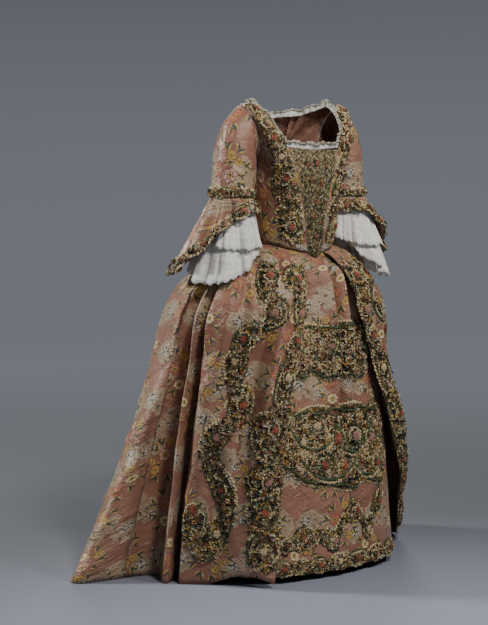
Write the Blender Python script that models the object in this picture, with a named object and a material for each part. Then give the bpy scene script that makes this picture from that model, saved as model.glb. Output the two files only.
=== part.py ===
"""Robe a la francaise: a sack-backed open gown with its stomacher and petticoat.

The wearer's front faces -Y and the wearer's right is -X.  Shapes are worked out in heights
above the floor, and every mesh is then lowered so that the origin lies between the shoulders,
where the wearer holds the garment up.  Each cloth piece is a thin closed wall between an outer
grid of points and the same grid moved inwards; each trim is a thicker wall raised from the
points of the panel that carries it.
"""
import math

import bpy
import numpy as np

# ---- driving dimensions, in metres -------------------------------------------------------
SHOULDER_HEIGHT = 1.36      # top of the shoulder seam above the floor
UNDERARM_HEIGHT = 1.2167    # lowest point of the armhole
WAIST_HEIGHT = 0.965        # waist seam at the side
WAIST_DIP = 0.027           # how far the waist seam drops at the front edge
HIP_HEIGHT = 0.80           # widest level over the hip pads
KNEE_HEIGHT = 0.40

CLOTH = 0.0018              # silk with its stiff backing
LACE = 0.0014
SEAM_GAP = 0.0008           # between neighbouring pieces
TRIM_LIFT = 0.0006          # underside of a trim above the cloth, where both are flat
TRIM_CLEARANCE = 0.0005     # least gap between a trim's flat facets and the folds under them
LIFT_PASSES = 12
FACET_PARTS = (0.2, 0.35, 0.5, 0.65, 0.8)   # shares of a facet's edge at which it is checked
TRIM_EDGE = 0.002           # thickness of a trim along its edges
PUFF = 0.5                  # share of a ruched band's thickness lost between its puffs
ARCH_START = 0.08           # where on a half circle a ruched band's cross-section begins
TRIM_ROUGHNESS = 0.8
SILK_ROUGHNESS = 0.55

WAIST_HALF_WIDTH = 0.121
WAIST_FRONT = 0.110
WAIST_BACK = 0.090
ROUNDNESS = 2.3             # superellipse power of the waist

ARMHOLE_TOP = np.array([0.1898, 0.002, 1.3603])
ARMHOLE_BOTTOM = np.array([0.1405, 0.002, UNDERARM_HEIGHT])
ARMHOLE_HALF_DEPTH = 0.056
ARMHOLE_STEPS = 8           # rows from underarm to shoulder seam, on each side of the arm
SLEEVE_SEGMENTS = 2 * ARMHOLE_STEPS

ELBOW = np.array([0.2155, 0.004, 1.098])

RIGHT, LEFT = -1, 1

# Inner edge of the bodice front: share of the way from waist to shoulder, and the place.
FRONT_EDGE = (
    # share   x       y       height
    (0.00, 0.027, -0.111, 0.938),
    (0.20, 0.037, -0.112, 1.030),
    (0.38, 0.058, -0.114, 1.120),
    (0.52, 0.079, -0.113, 1.195),
    (0.60, 0.094, -0.107, 1.235),
    (0.75, 0.122, -0.088, 1.277),
    (0.88, 0.139, -0.055, 1.330),
    (1.00, 0.152, 0.002, 1.368),
)

# Skirt folds from the front edge to the side, on the wearer's right.
# turn is the angle round the waist from centre front, in degrees.
SKIRT_RIGHT = (
    # fold          turn  hip x   hip y   knee x  knee y  hem x   hem y   hem height
    ("front_edge",  17, 0.094, -0.178, 0.190, -0.205, 0.242, -0.222, 0.012),
    ("front_flat",  28, 0.148, -0.182, 0.226, -0.198, 0.272, -0.196, 0.026),
    ("front_lift",  40, 0.200, -0.174, 0.262, -0.176, 0.302, -0.152, 0.034),
    ("front_side",  52, 0.250, -0.154, 0.300, -0.138, 0.334, -0.100, 0.016),
    ("pocket_fold", 60, 0.286, -0.124, 0.328, -0.106, 0.356, -0.066, 0.002),
    ("round_pleat", 68, 0.318, -0.104, 0.354, -0.078, 0.388, -0.034, 0.000),
    ("crisp_fold",  76, 0.343, -0.062, 0.393, -0.026, 0.416, -0.006, 0.000),
    ("gap_one",     80, 0.320, -0.034, 0.345, 0.048, 0.368, 0.084, 0.000),
    ("side_pleat",  86, 0.348, -0.016, 0.404, 0.020, 0.450, 0.026, 0.000),
    ("gap_two",     92, 0.326, 0.010, 0.368, 0.092, 0.430, 0.136, 0.000),
)

# The same folds on the wearer's left, where the front edge falls further back.
SKIRT_LEFT = (
    # fold          turn  hip x   hip y   knee x  knee y  hem x   hem y   hem height
    ("front_edge",  17, 0.106, -0.176, 0.255, -0.178, 0.474, 0.034, 0.012),
    ("front_flat",  28, 0.148, -0.176, 0.285, -0.164, 0.498, 0.052, 0.016),
    ("front_lift",  40, 0.188, -0.162, 0.312, -0.140, 0.518, 0.078, 0.010),
    ("front_side",  52, 0.222, -0.138, 0.334, -0.106, 0.540, 0.110, 0.004),
    ("pocket_fold", 60, 0.248, -0.112, 0.348, -0.070, 0.552, 0.142, 0.000),
    ("round_pleat", 68, 0.276, -0.086, 0.374, -0.030, 0.580, 0.168, 0.000),
    ("crisp_fold",  76, 0.304, -0.054, 0.402, 0.014, 0.600, 0.206, 0.000),
    ("gap_one",     80, 0.292, -0.028, 0.366, 0.062, 0.510, 0.232, 0.000),
    ("side_pleat",  86, 0.318, -0.010, 0.412, 0.058, 0.606, 0.238, 0.000),
    ("gap_two",     92, 0.306, 0.014, 0.380, 0.104, 0.520, 0.272, 0.000),
)

# Folds of half the sack back, from the side-back seam to the centre.  blade is how far the
# cloth swells over the shoulder blade; fit is 1 where the cloth is fitted to the waist and 0
# where the pleats hang free from the neck.
SACK = (
    # fold, blade, fit, neck (x, y, height),
    #     under the arm, waist, hip, knee and hem (x, y)
    ("seam", 0.000, 1.00, (0.1898, 0.003, 1.3603),
     (0.1405, 0.002), (0.121, 0.014), (0.350, 0.040), (0.414, 0.116), (0.500, 0.155)),
    ("train_ridge", 0.042, 1.00, (0.1780, 0.005, 1.3632),
     (0.126, 0.058), (0.113, 0.045), (0.330, 0.136), (0.448, 0.154), (0.645, 0.185)),
    ("side_back", 0.034, 0.90, (0.1650, 0.007, 1.3660),
     (0.110, 0.094), (0.097, 0.072), (0.296, 0.200), (0.400, 0.262), (0.545, 0.322)),
    ("neck_corner", 0.030, 0.75, (0.1520, 0.010, 1.3680),
     (0.096, 0.106), (0.086, 0.086), (0.256, 0.198), (0.354, 0.278), (0.478, 0.366)),
    ("under_fold", 0.010, 0.50, (0.1060, 0.076, 1.3420),
     (0.080, 0.114), (0.074, 0.104), (0.204, 0.196), (0.300, 0.296), (0.418, 0.408)),
    ("low_edge", 0.006, 0.25, (0.1080, 0.085, 1.3430),
     (0.100, 0.126), (0.116, 0.140), (0.188, 0.238), (0.304, 0.348), (0.424, 0.466)),
    ("low_return", 0.006, 0.00, (0.0820, 0.088, 1.3390),
     (0.078, 0.127), (0.084, 0.146), (0.138, 0.226), (0.232, 0.362), (0.330, 0.502)),
    ("top_edge", 0.006, 0.00, (0.0860, 0.097, 1.3400),
     (0.088, 0.137), (0.102, 0.178), (0.142, 0.278), (0.238, 0.412), (0.328, 0.568)),
    ("top_plate", 0.006, 0.00, (0.0480, 0.104, 1.3360),
     (0.050, 0.144), (0.060, 0.188), (0.086, 0.292), (0.150, 0.452), (0.214, 0.636)),
    ("inner_edge", 0.006, 0.00, (0.0100, 0.106, 1.3340),
     (0.011, 0.145), (0.016, 0.187), (0.026, 0.288), (0.058, 0.452), (0.096, 0.684)),
    ("inner_return", 0.006, 0.00, (0.0150, 0.097, 1.3340),
     (0.018, 0.134), (0.026, 0.170), (0.040, 0.262), (0.056, 0.420), (0.074, 0.640)),
    ("centre", 0.006, 0.00, (0.0000, 0.096, 1.3340),
     (0.000, 0.132), (0.000, 0.166), (0.000, 0.256), (0.000, 0.414), (0.000, 0.628)),
)

# Where the same folds meet the floor on the wearer's left, if elsewhere: the train spreads less.
LEFT_HEM = {
    "seam": (0.562, 0.292),
    "train_ridge": (0.600, 0.322),
    "side_back": (0.526, 0.388),
    "neck_corner": (0.462, 0.420),
    "under_fold": (0.393, 0.408),
    "low_edge": (0.399, 0.466),
    "low_return": (0.310, 0.502),
    "top_edge": (0.308, 0.568),
}

# Petticoat outline at each level.
PETTICOAT = (
    # height  right  left    front    back   roundness
    (0.958, 0.094, 0.094, -0.1116, 0.078, 2.0),
    (0.930, 0.122, 0.122, -0.1116, 0.100, 2.0),
    (0.880, 0.224, 0.222, -0.138, 0.140, 2.2),
    (0.800, 0.286, 0.278, -0.154, 0.165, 2.4),
    (0.600, 0.300, 0.306, -0.168, 0.195, 2.4),
    (0.400, 0.308, 0.328, -0.186, 0.225, 2.5),
    (0.200, 0.318, 0.346, -0.202, 0.265, 2.5),
    (0.020, 0.330, 0.360, -0.218, 0.310, 2.5),
)

# Sleeve rings for the wearer's left arm, from the armhole down.
SLEEVE = (
    # centre x, y, height      tilt  half width  half depth
    (0.1920, 0.002, 1.2620, 48.0, 0.0660, 0.0590),
    (0.2040, 0.002, 1.2250, 22.0, 0.0630, 0.0630),
    (0.2080, 0.003, 1.1770, 12.0, 0.0630, 0.0640),
    (0.2120, 0.004, 1.1350, 5.0, 0.0625, 0.0635),
    (ELBOW[0], ELBOW[1], ELBOW[2], 0.0, 0.0620, 0.0620),
)

# Falls at the elbow.  Each is longest at its point, a direction in degrees from outwards
# towards the front, and shortest opposite.
FALLS = (
    # name              point  radius  top     short  long   flare short, long  sharpness
    ("flounce",          -40, 0.0620, 1.0974, 0.042, 0.225, 0.030, 0.118, 2.4),
    ("engageante_upper",  70, 0.0581, 1.1080, 0.090, 0.160, 0.026, 0.060, 0.9),
    ("engageante_lower",  20, 0.0560, 1.1060, 0.105, 0.255, 0.014, 0.084, 1.3),
)
FALL_SEGMENTS = 40
FALL_WAVES = 10
WAVE_DEPTH = 0.0085
BODY_SIDE_FLARE = 0.25      # what is left of the flare where a fall hangs beside the body
SLEEVE_CLEARANCE = 0.002    # a lace fall stays straight until this far below the sleeve
FLOUNCE_ROWS, LACE_ROWS = 4, 3
HEADER_ROWS = (-0.62, -0.06)    # top and bottom of the header, in rows from the sleeve's end
HEADER_THICKNESS = 0.009
HEADER_PUFFS = 8
EDGING_ROWS = (-0.85, -0.05)    # the same for the edging on the flounce
EDGING_THICKNESS = 0.006

ROSE = (0.44, 0.24, 0.20)
GOLD_TRIM = (0.52, 0.42, 0.24)
WHITE_LACE = (0.82, 0.79, 0.72)


# ---- curves and grids ---------------------------------------------------------------------
def table_curve(where, knots, values):
    """Smooth curve through values at knots that never overshoots between them."""
    where = np.atleast_1d(np.asarray(where, float))
    knots = np.asarray(knots, float)
    values = np.asarray(values, float)
    flat = values.reshape(len(knots), -1)
    step = np.diff(knots)[:, None]
    slope = np.diff(flat, axis=0) / step
    tangent = np.zeros_like(flat)
    same = slope[:-1] * slope[1:] > 0
    safe = np.where(same, slope[:-1] + slope[1:], 1.0)
    tangent[1:-1] = np.where(same, 2 * slope[:-1] * slope[1:] / safe, 0.0)
    tangent[0] = slope[0]
    tangent[-1] = slope[-1]
    cell = np.clip(np.searchsorted(knots, where, side="right") - 1, 0, len(knots) - 2)
    h = step[cell]
    t = ((where - knots[cell]) / step[cell, 0])[:, None]
    curve = (flat[cell] * (1 + 2 * t) * (1 - t) ** 2 + tangent[cell] * h * t * (1 - t) ** 2
             + flat[cell + 1] * t * t * (3 - 2 * t) + tangent[cell + 1] * h * t * t * (t - 1))
    return curve.reshape((len(where),) + values.shape[1:])


def grid_normals(grid, closed=False):
    """Unit normal at each point of a grid: along its rows crossed with down its columns."""
    if closed:
        along = np.roll(grid, -1, axis=1) - np.roll(grid, 1, axis=1)
    else:
        along = np.gradient(grid, axis=1)
    down = np.gradient(grid, axis=0)
    normal = np.cross(along, down)
    length = np.linalg.norm(normal, axis=2, keepdims=True)
    return normal / np.maximum(length, 1e-9)


def sample(grid, u, v):
    """Point of the faceted grid at column u and row v, both with fractions."""
    rows, columns = grid.shape[:2]
    i = int(np.clip(math.floor(v), 0, rows - 2))
    j = int(np.clip(math.floor(u), 0, columns - 2))
    fv, fu = v - i, u - j
    near, far = grid[i, j], grid[i + 1, j + 1]
    if fv <= fu:
        return near + (grid[i, j + 1] - near) * fu + (far - grid[i, j + 1]) * fv
    return near + (grid[i + 1, j] - near) * fv + (far - grid[i + 1, j]) * fu


def locate(grid, distance, height, home=0.0):
    """Column and row of the place at a distance along the row from column home, and a height."""
    columns = grid.shape[1]
    u = home
    for _ in range(4):
        profile = np.array([sample(grid, u, row)[2] for row in range(grid.shape[0])])
        v = float(np.interp(-height, -profile, np.arange(grid.shape[0])))
        row = np.array([sample(grid, column, v) for column in range(columns)])
        length = np.concatenate([[0], np.cumsum(np.linalg.norm(np.diff(row, axis=0), axis=1))])
        start = float(np.interp(home, np.arange(columns), length))
        u = float(np.interp(start + distance, length, np.arange(columns)))
    return u, v


# ---- closed solids --------------------------------------------------------------------------
def make_material(name, colour, roughness):
    """Plain Principled material."""
    material = bpy.data.materials.new(name)
    material.use_nodes = True
    shader = material.node_tree.nodes["Principled BSDF"]
    shader.inputs["Base Color"].default_value = (*colour, 1.0)
    shader.inputs["Roughness"].default_value = roughness
    shader.inputs["Metallic"].default_value = 0.0
    return material


def wall(name, outer, inner, colour, closed=False, roughness=SILK_ROUGHNESS):
    """Closed solid between an outer and an inner grid of the same shape."""
    rows, columns = outer.shape[:2]
    count = rows * columns
    points = np.concatenate([outer.reshape(-1, 3), inner.reshape(-1, 3)])
    points[:, 2] -= SHOULDER_HEIGHT
    spans = columns if closed else columns - 1
    faces = []

    def quad(a, b, c, d):
        faces.append((a, b, c))
        faces.append((a, c, d))

    for i in range(rows - 1):
        for j in range(spans):
            k = (j + 1) % columns
            a, b = i * columns + j, i * columns + k
            c, d = (i + 1) * columns + k, (i + 1) * columns + j
            quad(a, b, c, d)
            faces.append((count + a, count + c, count + b))
            faces.append((count + a, count + d, count + c))
    for j in range(spans):
        k = (j + 1) % columns
        last = (rows - 1) * columns
        quad(j, count + j, count + k, k)
        quad(last + k, count + last + k, count + last + j, last + j)
    if not closed:
        for i in range(rows - 1):
            a, b = i * columns, (i + 1) * columns
            quad(b, count + b, count + a, a)
            a, b = a + columns - 1, b + columns - 1
            quad(a, count + a, count + b, b)
    faces = np.array(faces)
    corner = points[faces]
    volume = np.einsum("ij,ij->i", corner[:, 0], np.cross(corner[:, 1], corner[:, 2])).sum()
    if volume < 0:
        faces = faces[:, ::-1]
    mesh = bpy.data.meshes.new(name)
    mesh.from_pydata(points.tolist(), [], faces.tolist())
    mesh.shade_smooth()
    mesh.materials.append(make_material(name, colour, roughness))
    solid = bpy.data.objects.new(name, mesh)
    bpy.context.scene.collection.objects.link(solid)
    return solid


def mirrored(grid, side):
    """The grid on the wearer's left, or its mirror image for the right."""
    return grid * np.array([side, 1.0, 1.0])


def side_name(name, side):
    return name + ("_right" if side == RIGHT else "_left")


def overlay(name, grid, normals, place, along, across, height, colour, closed=False):
    """Trim raised from the points of a panel.

    place(a, b) gives the panel's column and row for shares a along and b across the trim,
    and height(a, b) how thick the trim is there.  Where a flat facet of the trim would cut a
    fold of the panel between its corners, both corners are lifted until it clears.
    """
    spans = along if closed else along + 1
    shares = np.linspace(0, 1, along + 1)

    def on_panel(a, b):
        u, v = place(a % 1.0 if closed else a, b)
        normal = sample(normals, u, v)
        return sample(grid, u, v), normal / np.linalg.norm(normal)

    across_shares = np.linspace(0, 1, across + 1)
    feet = [[on_panel(a, b) for a in shares[:spans]] for b in across_shares]
    points = np.array([[foot[0] for foot in row] for row in feet])
    directions = np.array([[foot[1] for foot in row] for row in feet])
    lift = np.full(points.shape[:2], TRIM_LIFT)
    neighbours = []
    for j in range(across + 1):
        for i in range(spans):
            for di, dj in ((1, 0), (0, 1), (1, 1)):
                if j + dj > across or (i + di >= spans and not closed):
                    continue
                for part in FACET_PARTS:
                    a = (i + di * part) / along
                    b = (j + dj * part) / across
                    neighbours.append((j, i, j + dj, (i + di) % spans, part, on_panel(a, b)))
    for _ in range(LIFT_PASSES):
        for j, i, jn, k, part, (surface, normal) in neighbours:
            here = points[j, i] + directions[j, i] * lift[j, i]
            there = points[jn, k] + directions[jn, k] * lift[jn, k]
            clear = np.dot(here * (1 - part) + there * part - surface, normal)
            if clear < TRIM_CLEARANCE:
                lift[j, i] += TRIM_CLEARANCE - clear
                lift[jn, k] += TRIM_CLEARANCE - clear
    base = points + directions * lift[:, :, None]
    thickness = np.array([[height(a, b) for a in shares[:spans]] for b in across_shares])
    top = base + directions * thickness[:, :, None]
    return wall(name, top, base, colour, closed, TRIM_ROUGHNESS)


def ruche(depth, puffs, tilt=0.0):
    """Thickness of a ruched band: an arch across, in puffs along that may lie on a slant."""
    def height(a, b):
        puff = 1 - PUFF * (1 - math.cos(2 * math.pi * (puffs * a + tilt * b))) / 2
        arch = math.sin(math.pi * (ARCH_START + (1 - 2 * ARCH_START) * b)) ** 0.5
        return TRIM_EDGE + (depth - TRIM_EDGE) * puff * arch
    return height


# ---- bodice -----------------------------------------------------------------------------------
SIDE_ROWS = 2               # rows from the waist to the underarm
BODICE_ROWS = SIDE_ROWS + ARMHOLE_STEPS
BODICE_COLUMNS = 8
SIDE_WAIST = np.array([0.121, 0.014, WAIST_HEIGHT])
SIDE_SWELL = 0.003          # how far the side seam curves outwards
CHEST_SWELL = 0.004
CORNER_WEIGHT = 1.5         # how squarely the front turns into the side; 2 would be a parabola


def armhole(turn):
    """Point of the left armhole; turn is 0 at the shoulder, 90 in front, 180 under the arm."""
    centre = (ARMHOLE_TOP + ARMHOLE_BOTTOM) / 2
    half = (ARMHOLE_TOP - ARMHOLE_BOTTOM) / 2
    angle = math.radians(turn)
    forward = np.array([0, -ARMHOLE_HALF_DEPTH, 0])
    return centre + half * math.cos(angle) + forward * math.sin(angle)


def waist_point(turn):
    """Point of the left half of the waist seam, turned in degrees from centre front."""
    angle = math.radians(turn)
    s, c = math.sin(angle), math.cos(angle)
    power = 2 / ROUNDNESS
    reach = WAIST_FRONT if c > 0 else WAIST_BACK
    drop = WAIST_DIP * max(0.0, math.cos(math.radians(min(90.0, turn)))) ** 2
    return np.array([WAIST_HALF_WIDTH * abs(s) ** power * math.copysign(1, s),
                     -reach * abs(c) ** power * math.copysign(1, c), WAIST_HEIGHT - drop])


def side_seam(share):
    """Side seam from the waist (0) to the underarm (1)."""
    swell = np.array([SIDE_SWELL, 0.0, 0.0]) * math.sin(math.pi * share)
    return SIDE_WAIST * (1 - share) + ARMHOLE_BOTTOM * share + swell


def outer_edge(row, back=False):
    """Side seam and armhole edge of the left bodice, by row from the waist up."""
    if row <= SIDE_ROWS:
        return side_seam(row / SIDE_ROWS)
    turn = 180 - 180 * (row - SIDE_ROWS) / ARMHOLE_STEPS
    return armhole(-turn if back else turn)


def bodice_front():
    """Left bodice front, rows from the shoulder down, columns from the front edge outwards."""
    edge = np.array(FRONT_EDGE)
    rows = []
    for row in range(BODICE_ROWS, -1, -1):
        inner = table_curve(row / BODICE_ROWS, edge[:, 0], edge[:, 1:])[0]
        outer = outer_edge(row)
        corner = np.array([max(inner[0], outer[0]), min(inner[1], outer[1]),
                           (inner[2] + outer[2]) / 2 + CHEST_SWELL])
        points = []
        for share in np.linspace(0, 1, BODICE_COLUMNS + 1):
            weights = np.array([(1 - share) ** 2, CORNER_WEIGHT * share * (1 - share), share ** 2])
            weights /= weights.sum()
            points.append(weights[0] * inner + weights[1] * corner + weights[2] * outer)
        rows.append(points)
    return np.array(rows)


def trim_edges(grid, left, right):
    """Move the first and last columns of a grid inwards by the given distances."""
    grid = grid.copy()
    for end, inward, gap in ((0, 1, left), (-1, -2, right)):
        step = grid[:, inward] - grid[:, end]
        grid[:, end] += step / np.linalg.norm(step, axis=1, keepdims=True) * gap
    return grid


# ---- gown skirts and sack back ------------------------------------------------------------
DOME_ROWS, THIGH_ROWS, CALF_ROWS = 4, 2, 3
DOME_POWER = 1.48              # 1 would be a round dome over the hip, 2 a straight slope
SKIRT_ROWS = DOME_ROWS + THIGH_ROWS + CALF_ROWS
SKIRT_BREAK = BODICE_ROWS      # row of the whole gown grid at which the skirts begin


def fall(waist, hip, knee, hem):
    """Column of points from the waist over the hip to the hem."""
    points = []
    for share in np.arange(DOME_ROWS) / DOME_ROWS:
        swing = math.radians(90 * share)
        level = waist[2] + (hip[2] - waist[2]) * (1 - math.cos(swing) ** DOME_POWER)
        plan = waist[:2] + (hip[:2] - waist[:2]) * math.sin(swing) ** DOME_POWER
        points.append([plan[0], plan[1], level])
    steps = np.concatenate([np.linspace(0, 1, THIGH_ROWS + 1)[:-1],
                            1 + np.linspace(0, 1, CALF_ROWS + 1)])
    low = table_curve(steps, [0, 1, 2], np.array([hip, knee, hem]))
    return np.concatenate([np.array(points), low])


def skirt_columns(table):
    """Fold lines of a front skirt, for the wearer's left."""
    lines = []
    for _, turn, hip_x, hip_y, knee_x, knee_y, hem_x, hem_y, hem_z in table:
        waist = waist_point(turn)
        waist[2] -= SEAM_GAP + CLOTH
        lines.append(fall(waist, np.array([hip_x, hip_y, HIP_HEIGHT]),
                          np.array([knee_x, knee_y, KNEE_HEIGHT]), np.array([hem_x, hem_y, hem_z])))
    return lines


def sack_columns(side):
    """Fold lines of half the sack back, from the side seam to the centre, for the left."""
    lines = []
    for name, blade, fit, *places in SACK:
        neck, under, waist, hip, knee, hem = (np.array(place) for place in places)
        if side == LEFT:
            hem = np.array(LEFT_HEM.get(name, hem))
        if name == "seam":
            upper = np.array([outer_edge(r, back=True) for r in range(BODICE_ROWS, 0, -1)])
        else:
            turns = np.linspace(0, math.pi, ARMHOLE_STEPS + 1)
            armhole_levels = neck[2] + (UNDERARM_HEIGHT - neck[2]) * (1 - np.cos(turns)) / 2
            side_levels = np.linspace(UNDERARM_HEIGHT, WAIST_HEIGHT, SIDE_ROWS + 1)[1:-1]
            levels = np.concatenate([armhole_levels, side_levels])
            plan = table_curve(-levels, [-neck[2], -UNDERARM_HEIGHT, -WAIST_HEIGHT],
                               np.array([neck[:2], under, waist]))
            plan[:ARMHOLE_STEPS + 1, 1] += blade * np.sin(turns)
            upper = np.column_stack([plan, levels])
        top, low = np.append(waist, WAIST_HEIGHT), np.append(hip, HIP_HEIGHT)
        mid, end = np.append(knee, KNEE_HEIGHT), np.append(hem, 0.0)
        fitted = fall(top, low, mid, end)
        levels = fitted[:, 2]
        free = table_curve(-levels, [-WAIST_HEIGHT, -HIP_HEIGHT, -KNEE_HEIGHT, 0.0],
                           np.array([top, low, mid, end]))
        lines.append(np.concatenate([upper, fitted * fit + free * (1 - fit)]))
    return lines


def between(lines, sharp):
    """Fold lines with a smooth column half way between each two that aren't sharp.

    Also gives the new place of each fold line.
    """
    full, places = [], []
    last = len(lines) - 1
    for k, line in enumerate(lines):
        places.append(len(full))
        full.append(line)
        if k == last or k in sharp or k + 1 in sharp:
            continue
        before = 0 if k == 0 else (lines[k + 1] - lines[k - 1]) / 2
        after = 0 if k + 1 == last else (lines[k + 2] - line) / 2
        full.append((line + lines[k + 1]) / 2 + (before - after) / 8)
    return full, places


def gown_grid():
    """The whole gown skirt and sack as one grid, from the right front edge to the left.

    Also gives the columns of the two side-back seams.
    """
    halves, seams = {}, {}
    for side, table in ((RIGHT, SKIRT_RIGHT), (LEFT, SKIRT_LEFT)):
        skirt = skirt_columns(table)
        sack = sack_columns(side)
        seam, ridge = sack[0][:SKIRT_BREAK], sack[1][:SKIRT_BREAK]
        whole = []
        for k, line in enumerate(skirt):
            beyond = seam + (seam - ridge) * (len(skirt) - k)
            whole.append(np.concatenate([beyond, line]))
        lines, places = between(whole + sack, SHARP_FOLDS)
        halves[side] = mirrored(np.array(lines).transpose(1, 0, 2), side)
        seams[side] = places[len(skirt)]
    joined = np.concatenate([halves[RIGHT], halves[LEFT][:, -2::-1]], axis=1)
    return joined, seams[RIGHT], joined.shape[1] - 1 - seams[LEFT]


FOLD_NAMES = [row[0] for row in SKIRT_RIGHT + SACK]
SHARP_FOLDS = [FOLD_NAMES.index(name) for name in
               ("crisp_fold", "gap_one", "low_edge", "low_return", "top_edge", "inner_edge",
                "inner_return")]


def build_gown():
    """Two skirts and the sack back, cut from the gown grid; returns the skirts' grids."""
    grid, right_seam, left_seam = gown_grid()
    normals = grid_normals(grid)
    last = grid.shape[1] - 1
    cuts = (("gown_skirt_right", 0, right_seam, SKIRT_BREAK, 0.0, SEAM_GAP / 2),
            ("sack_back", right_seam, left_seam, 0, SEAM_GAP / 2, SEAM_GAP / 2),
            ("gown_skirt_left", left_seam, last, SKIRT_BREAK, SEAM_GAP / 2, 0.0))
    panels = {}
    for name, first, end, top, left, right in cuts:
        outer = trim_edges(grid[top:, first:end + 1], left, right)
        normal = normals[top:, first:end + 1]
        if name == "gown_skirt_left":
            outer, normal = outer[:, ::-1], normal[:, ::-1]
        wall(name, outer, outer - normal * CLOTH, ROSE)
        panels[name] = (outer, normal)
    return {RIGHT: panels["gown_skirt_right"], LEFT: panels["gown_skirt_left"]}


# ---- petticoat ---------------------------------------------------------------------------------
# Trims across the petticoat front: (distance to the wearer's left of centre, top, bottom).
FURBELOWS = (
    # name, rows of (distance, top height, bottom height), rows across, thickness, scallops
    ("furbelow_upper", ((-0.128, 0.722, 0.600), (0.000, 0.716, 0.590), (0.152, 0.722, 0.575)),
     4, 0.011, 3.0),
    ("furbelow_lower", ((-0.158, 0.470, 0.330), (0.020, 0.482, 0.262), (0.205, 0.470, 0.262)),
     6, 0.012, 2.5),
    ("petticoat_serpentine", ((-0.190, 0.120, 0.078), (-0.120, 0.150, 0.100),
                              (-0.060, 0.150, 0.098), (-0.010, 0.128, 0.080),
                              (0.040, 0.200, 0.150), (0.090, 0.206, 0.158),
                              (0.130, 0.146, 0.096), (0.170, 0.206, 0.158),
                              (0.215, 0.240, 0.192)),
     3, 0.010, 0.0),
    ("petticoat_hem_trim", ((-0.215, 0.062, 0.024), (0.000, 0.062, 0.024), (0.300, 0.066, 0.024)),
     2, 0.009, 0.0),
)
FURBELOW_STEPS = 22
STEPS_PER_PUFF = 3
SCALLOP = 0.018             # depth of the scallops along a furbelow's lower edge

PETTICOAT_COLUMNS = 48
PETTICOAT_ROWS = 7
PETTICOAT_PLEATS = 12
FRONT_FOLD = 0.0022        # soft folds in front
SIDE_PLEAT = 0.0100        # pleats at the sides and back, at the hem
PLEAT_START = 0.33         # share of the way down by which the pleats are fully deep
PLEAT_WIDTH = 0.3          # half width over which a pleat moves the cloth sideways


def petticoat_grid():
    """Closed tube, columns from centre front towards the wearer's right."""
    table = np.array(PETTICOAT)
    levels = np.linspace(0, 1, PETTICOAT_ROWS + 1)
    knots = np.linspace(0, 1, len(table))
    rows = []
    for share in levels:
        height, right, left, front, back, power = table_curve(share, knots, table)[0]
        middle, reach = (front + back) / 2, (back - front) / 2
        row = []
        for column in range(PETTICOAT_COLUMNS):
            angle = 2 * math.pi * column / PETTICOAT_COLUMNS
            s, c = math.sin(angle), math.cos(angle)
            half = right if s > 0 else left
            x = -half * abs(s) ** (2 / power) * math.copysign(1, s)
            y = middle - reach * abs(c) ** (2 / power) * math.copysign(1, c)
            backness = (1 - c) / 2
            depth = FRONT_FOLD * (1 - backness) + SIDE_PLEAT * backness * share
            wave = depth * math.cos(PETTICOAT_PLEATS * angle) * min(1.0, share / PLEAT_START)
            row.append([x * (1 - wave / PLEAT_WIDTH), y - wave * c, height])
        rows.append(row)
    return np.array(rows)


def build_petticoat():
    """The petticoat and the trims on its front; they lie between the gown's front edges."""
    grid = petticoat_grid()
    normals = grid_normals(grid, closed=True)
    wall("petticoat", grid, grid - normals * CLOTH, ROSE, closed=True)
    turn = PETTICOAT_COLUMNS // 2
    front = np.concatenate([grid[:, -turn:], grid[:, :turn + 1]], axis=1)
    front_normals = np.concatenate([normals[:, -turn:], normals[:, :turn + 1]], axis=1)
    for name, spans, across, depth, scallops in FURBELOWS:
        build_furbelow(name, front, front_normals, turn, np.array(spans), across, depth, scallops)


def build_furbelow(name, grid, normals, home, spans, across, depth, scallops):
    """Ruched band across the petticoat front, with scallops along its lower edge."""
    def place(a, b):
        distance, top, bottom = table_curve(a * (len(spans) - 1), np.arange(len(spans)), spans)[0]
        bottom -= SCALLOP * abs(math.sin(math.pi * scallops * a))
        return locate(grid, -distance, top + (bottom - top) * b, home)

    height = ruche(depth, FURBELOW_STEPS / STEPS_PER_PUFF, across / 2)
    overlay(name, grid, normals, place, FURBELOW_STEPS, across, height, GOLD_TRIM)


# ---- bodice and stomacher --------------------------------------------------------------------
ROBING_COLUMNS = 4            # columns of the bodice front that the robing trim covers
ROBING_INSET = 0.25           # rows left clear at each end of it
ROBING_THICKNESS = 0.010
ROBING_PUFFS = 9
STOMACHER_ROWS, STOMACHER_COLUMNS = 14, 10
STOMACHER_TOP = 0.60          # share of the front edge at which the stomacher ends
STOMACHER_BULGE = 0.003
NETTING = 0.0035              # relief of the netted fringe
TIP_SHARE = 0.10              # share of the front edge over which the point is drawn out
TIP_FORWARD = 0.006
TIP_DROP = 0.016


def build_stomacher():
    """Pointed panel that fills the front opening, netted in relief."""
    edge = np.array(FRONT_EDGE)
    outer, relief = [], []
    for i in range(STOMACHER_ROWS + 1):
        share = STOMACHER_TOP * (1 - i / STOMACHER_ROWS)
        half, y, height = table_curve(share, edge[:, 0], edge[:, 1:])[0]
        row, bumps = [], []
        for j in range(STOMACHER_COLUMNS + 1):
            s = 2 * j / STOMACHER_COLUMNS - 1
            bulge = STOMACHER_BULGE * (1 - s * s)
            tip = (1 - abs(s)) * max(0.0, 1 - share / TIP_SHARE)
            row.append([s * half, y - bulge - TIP_FORWARD * tip, height - TIP_DROP * tip])
            inside = min(i, STOMACHER_ROWS - i, j, STOMACHER_COLUMNS - j) > 0
            bumps.append(NETTING * ((i + j) % 2) if inside else 0.0)
        outer.append(row)
        relief.append(bumps)
    outer = trim_edges(np.array(outer), SEAM_GAP, SEAM_GAP)
    normals = -grid_normals(outer)
    relief = np.array(relief)[:, :, None]
    wall("stomacher", outer + normals * relief, outer - normals * CLOTH, GOLD_TRIM)


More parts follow.
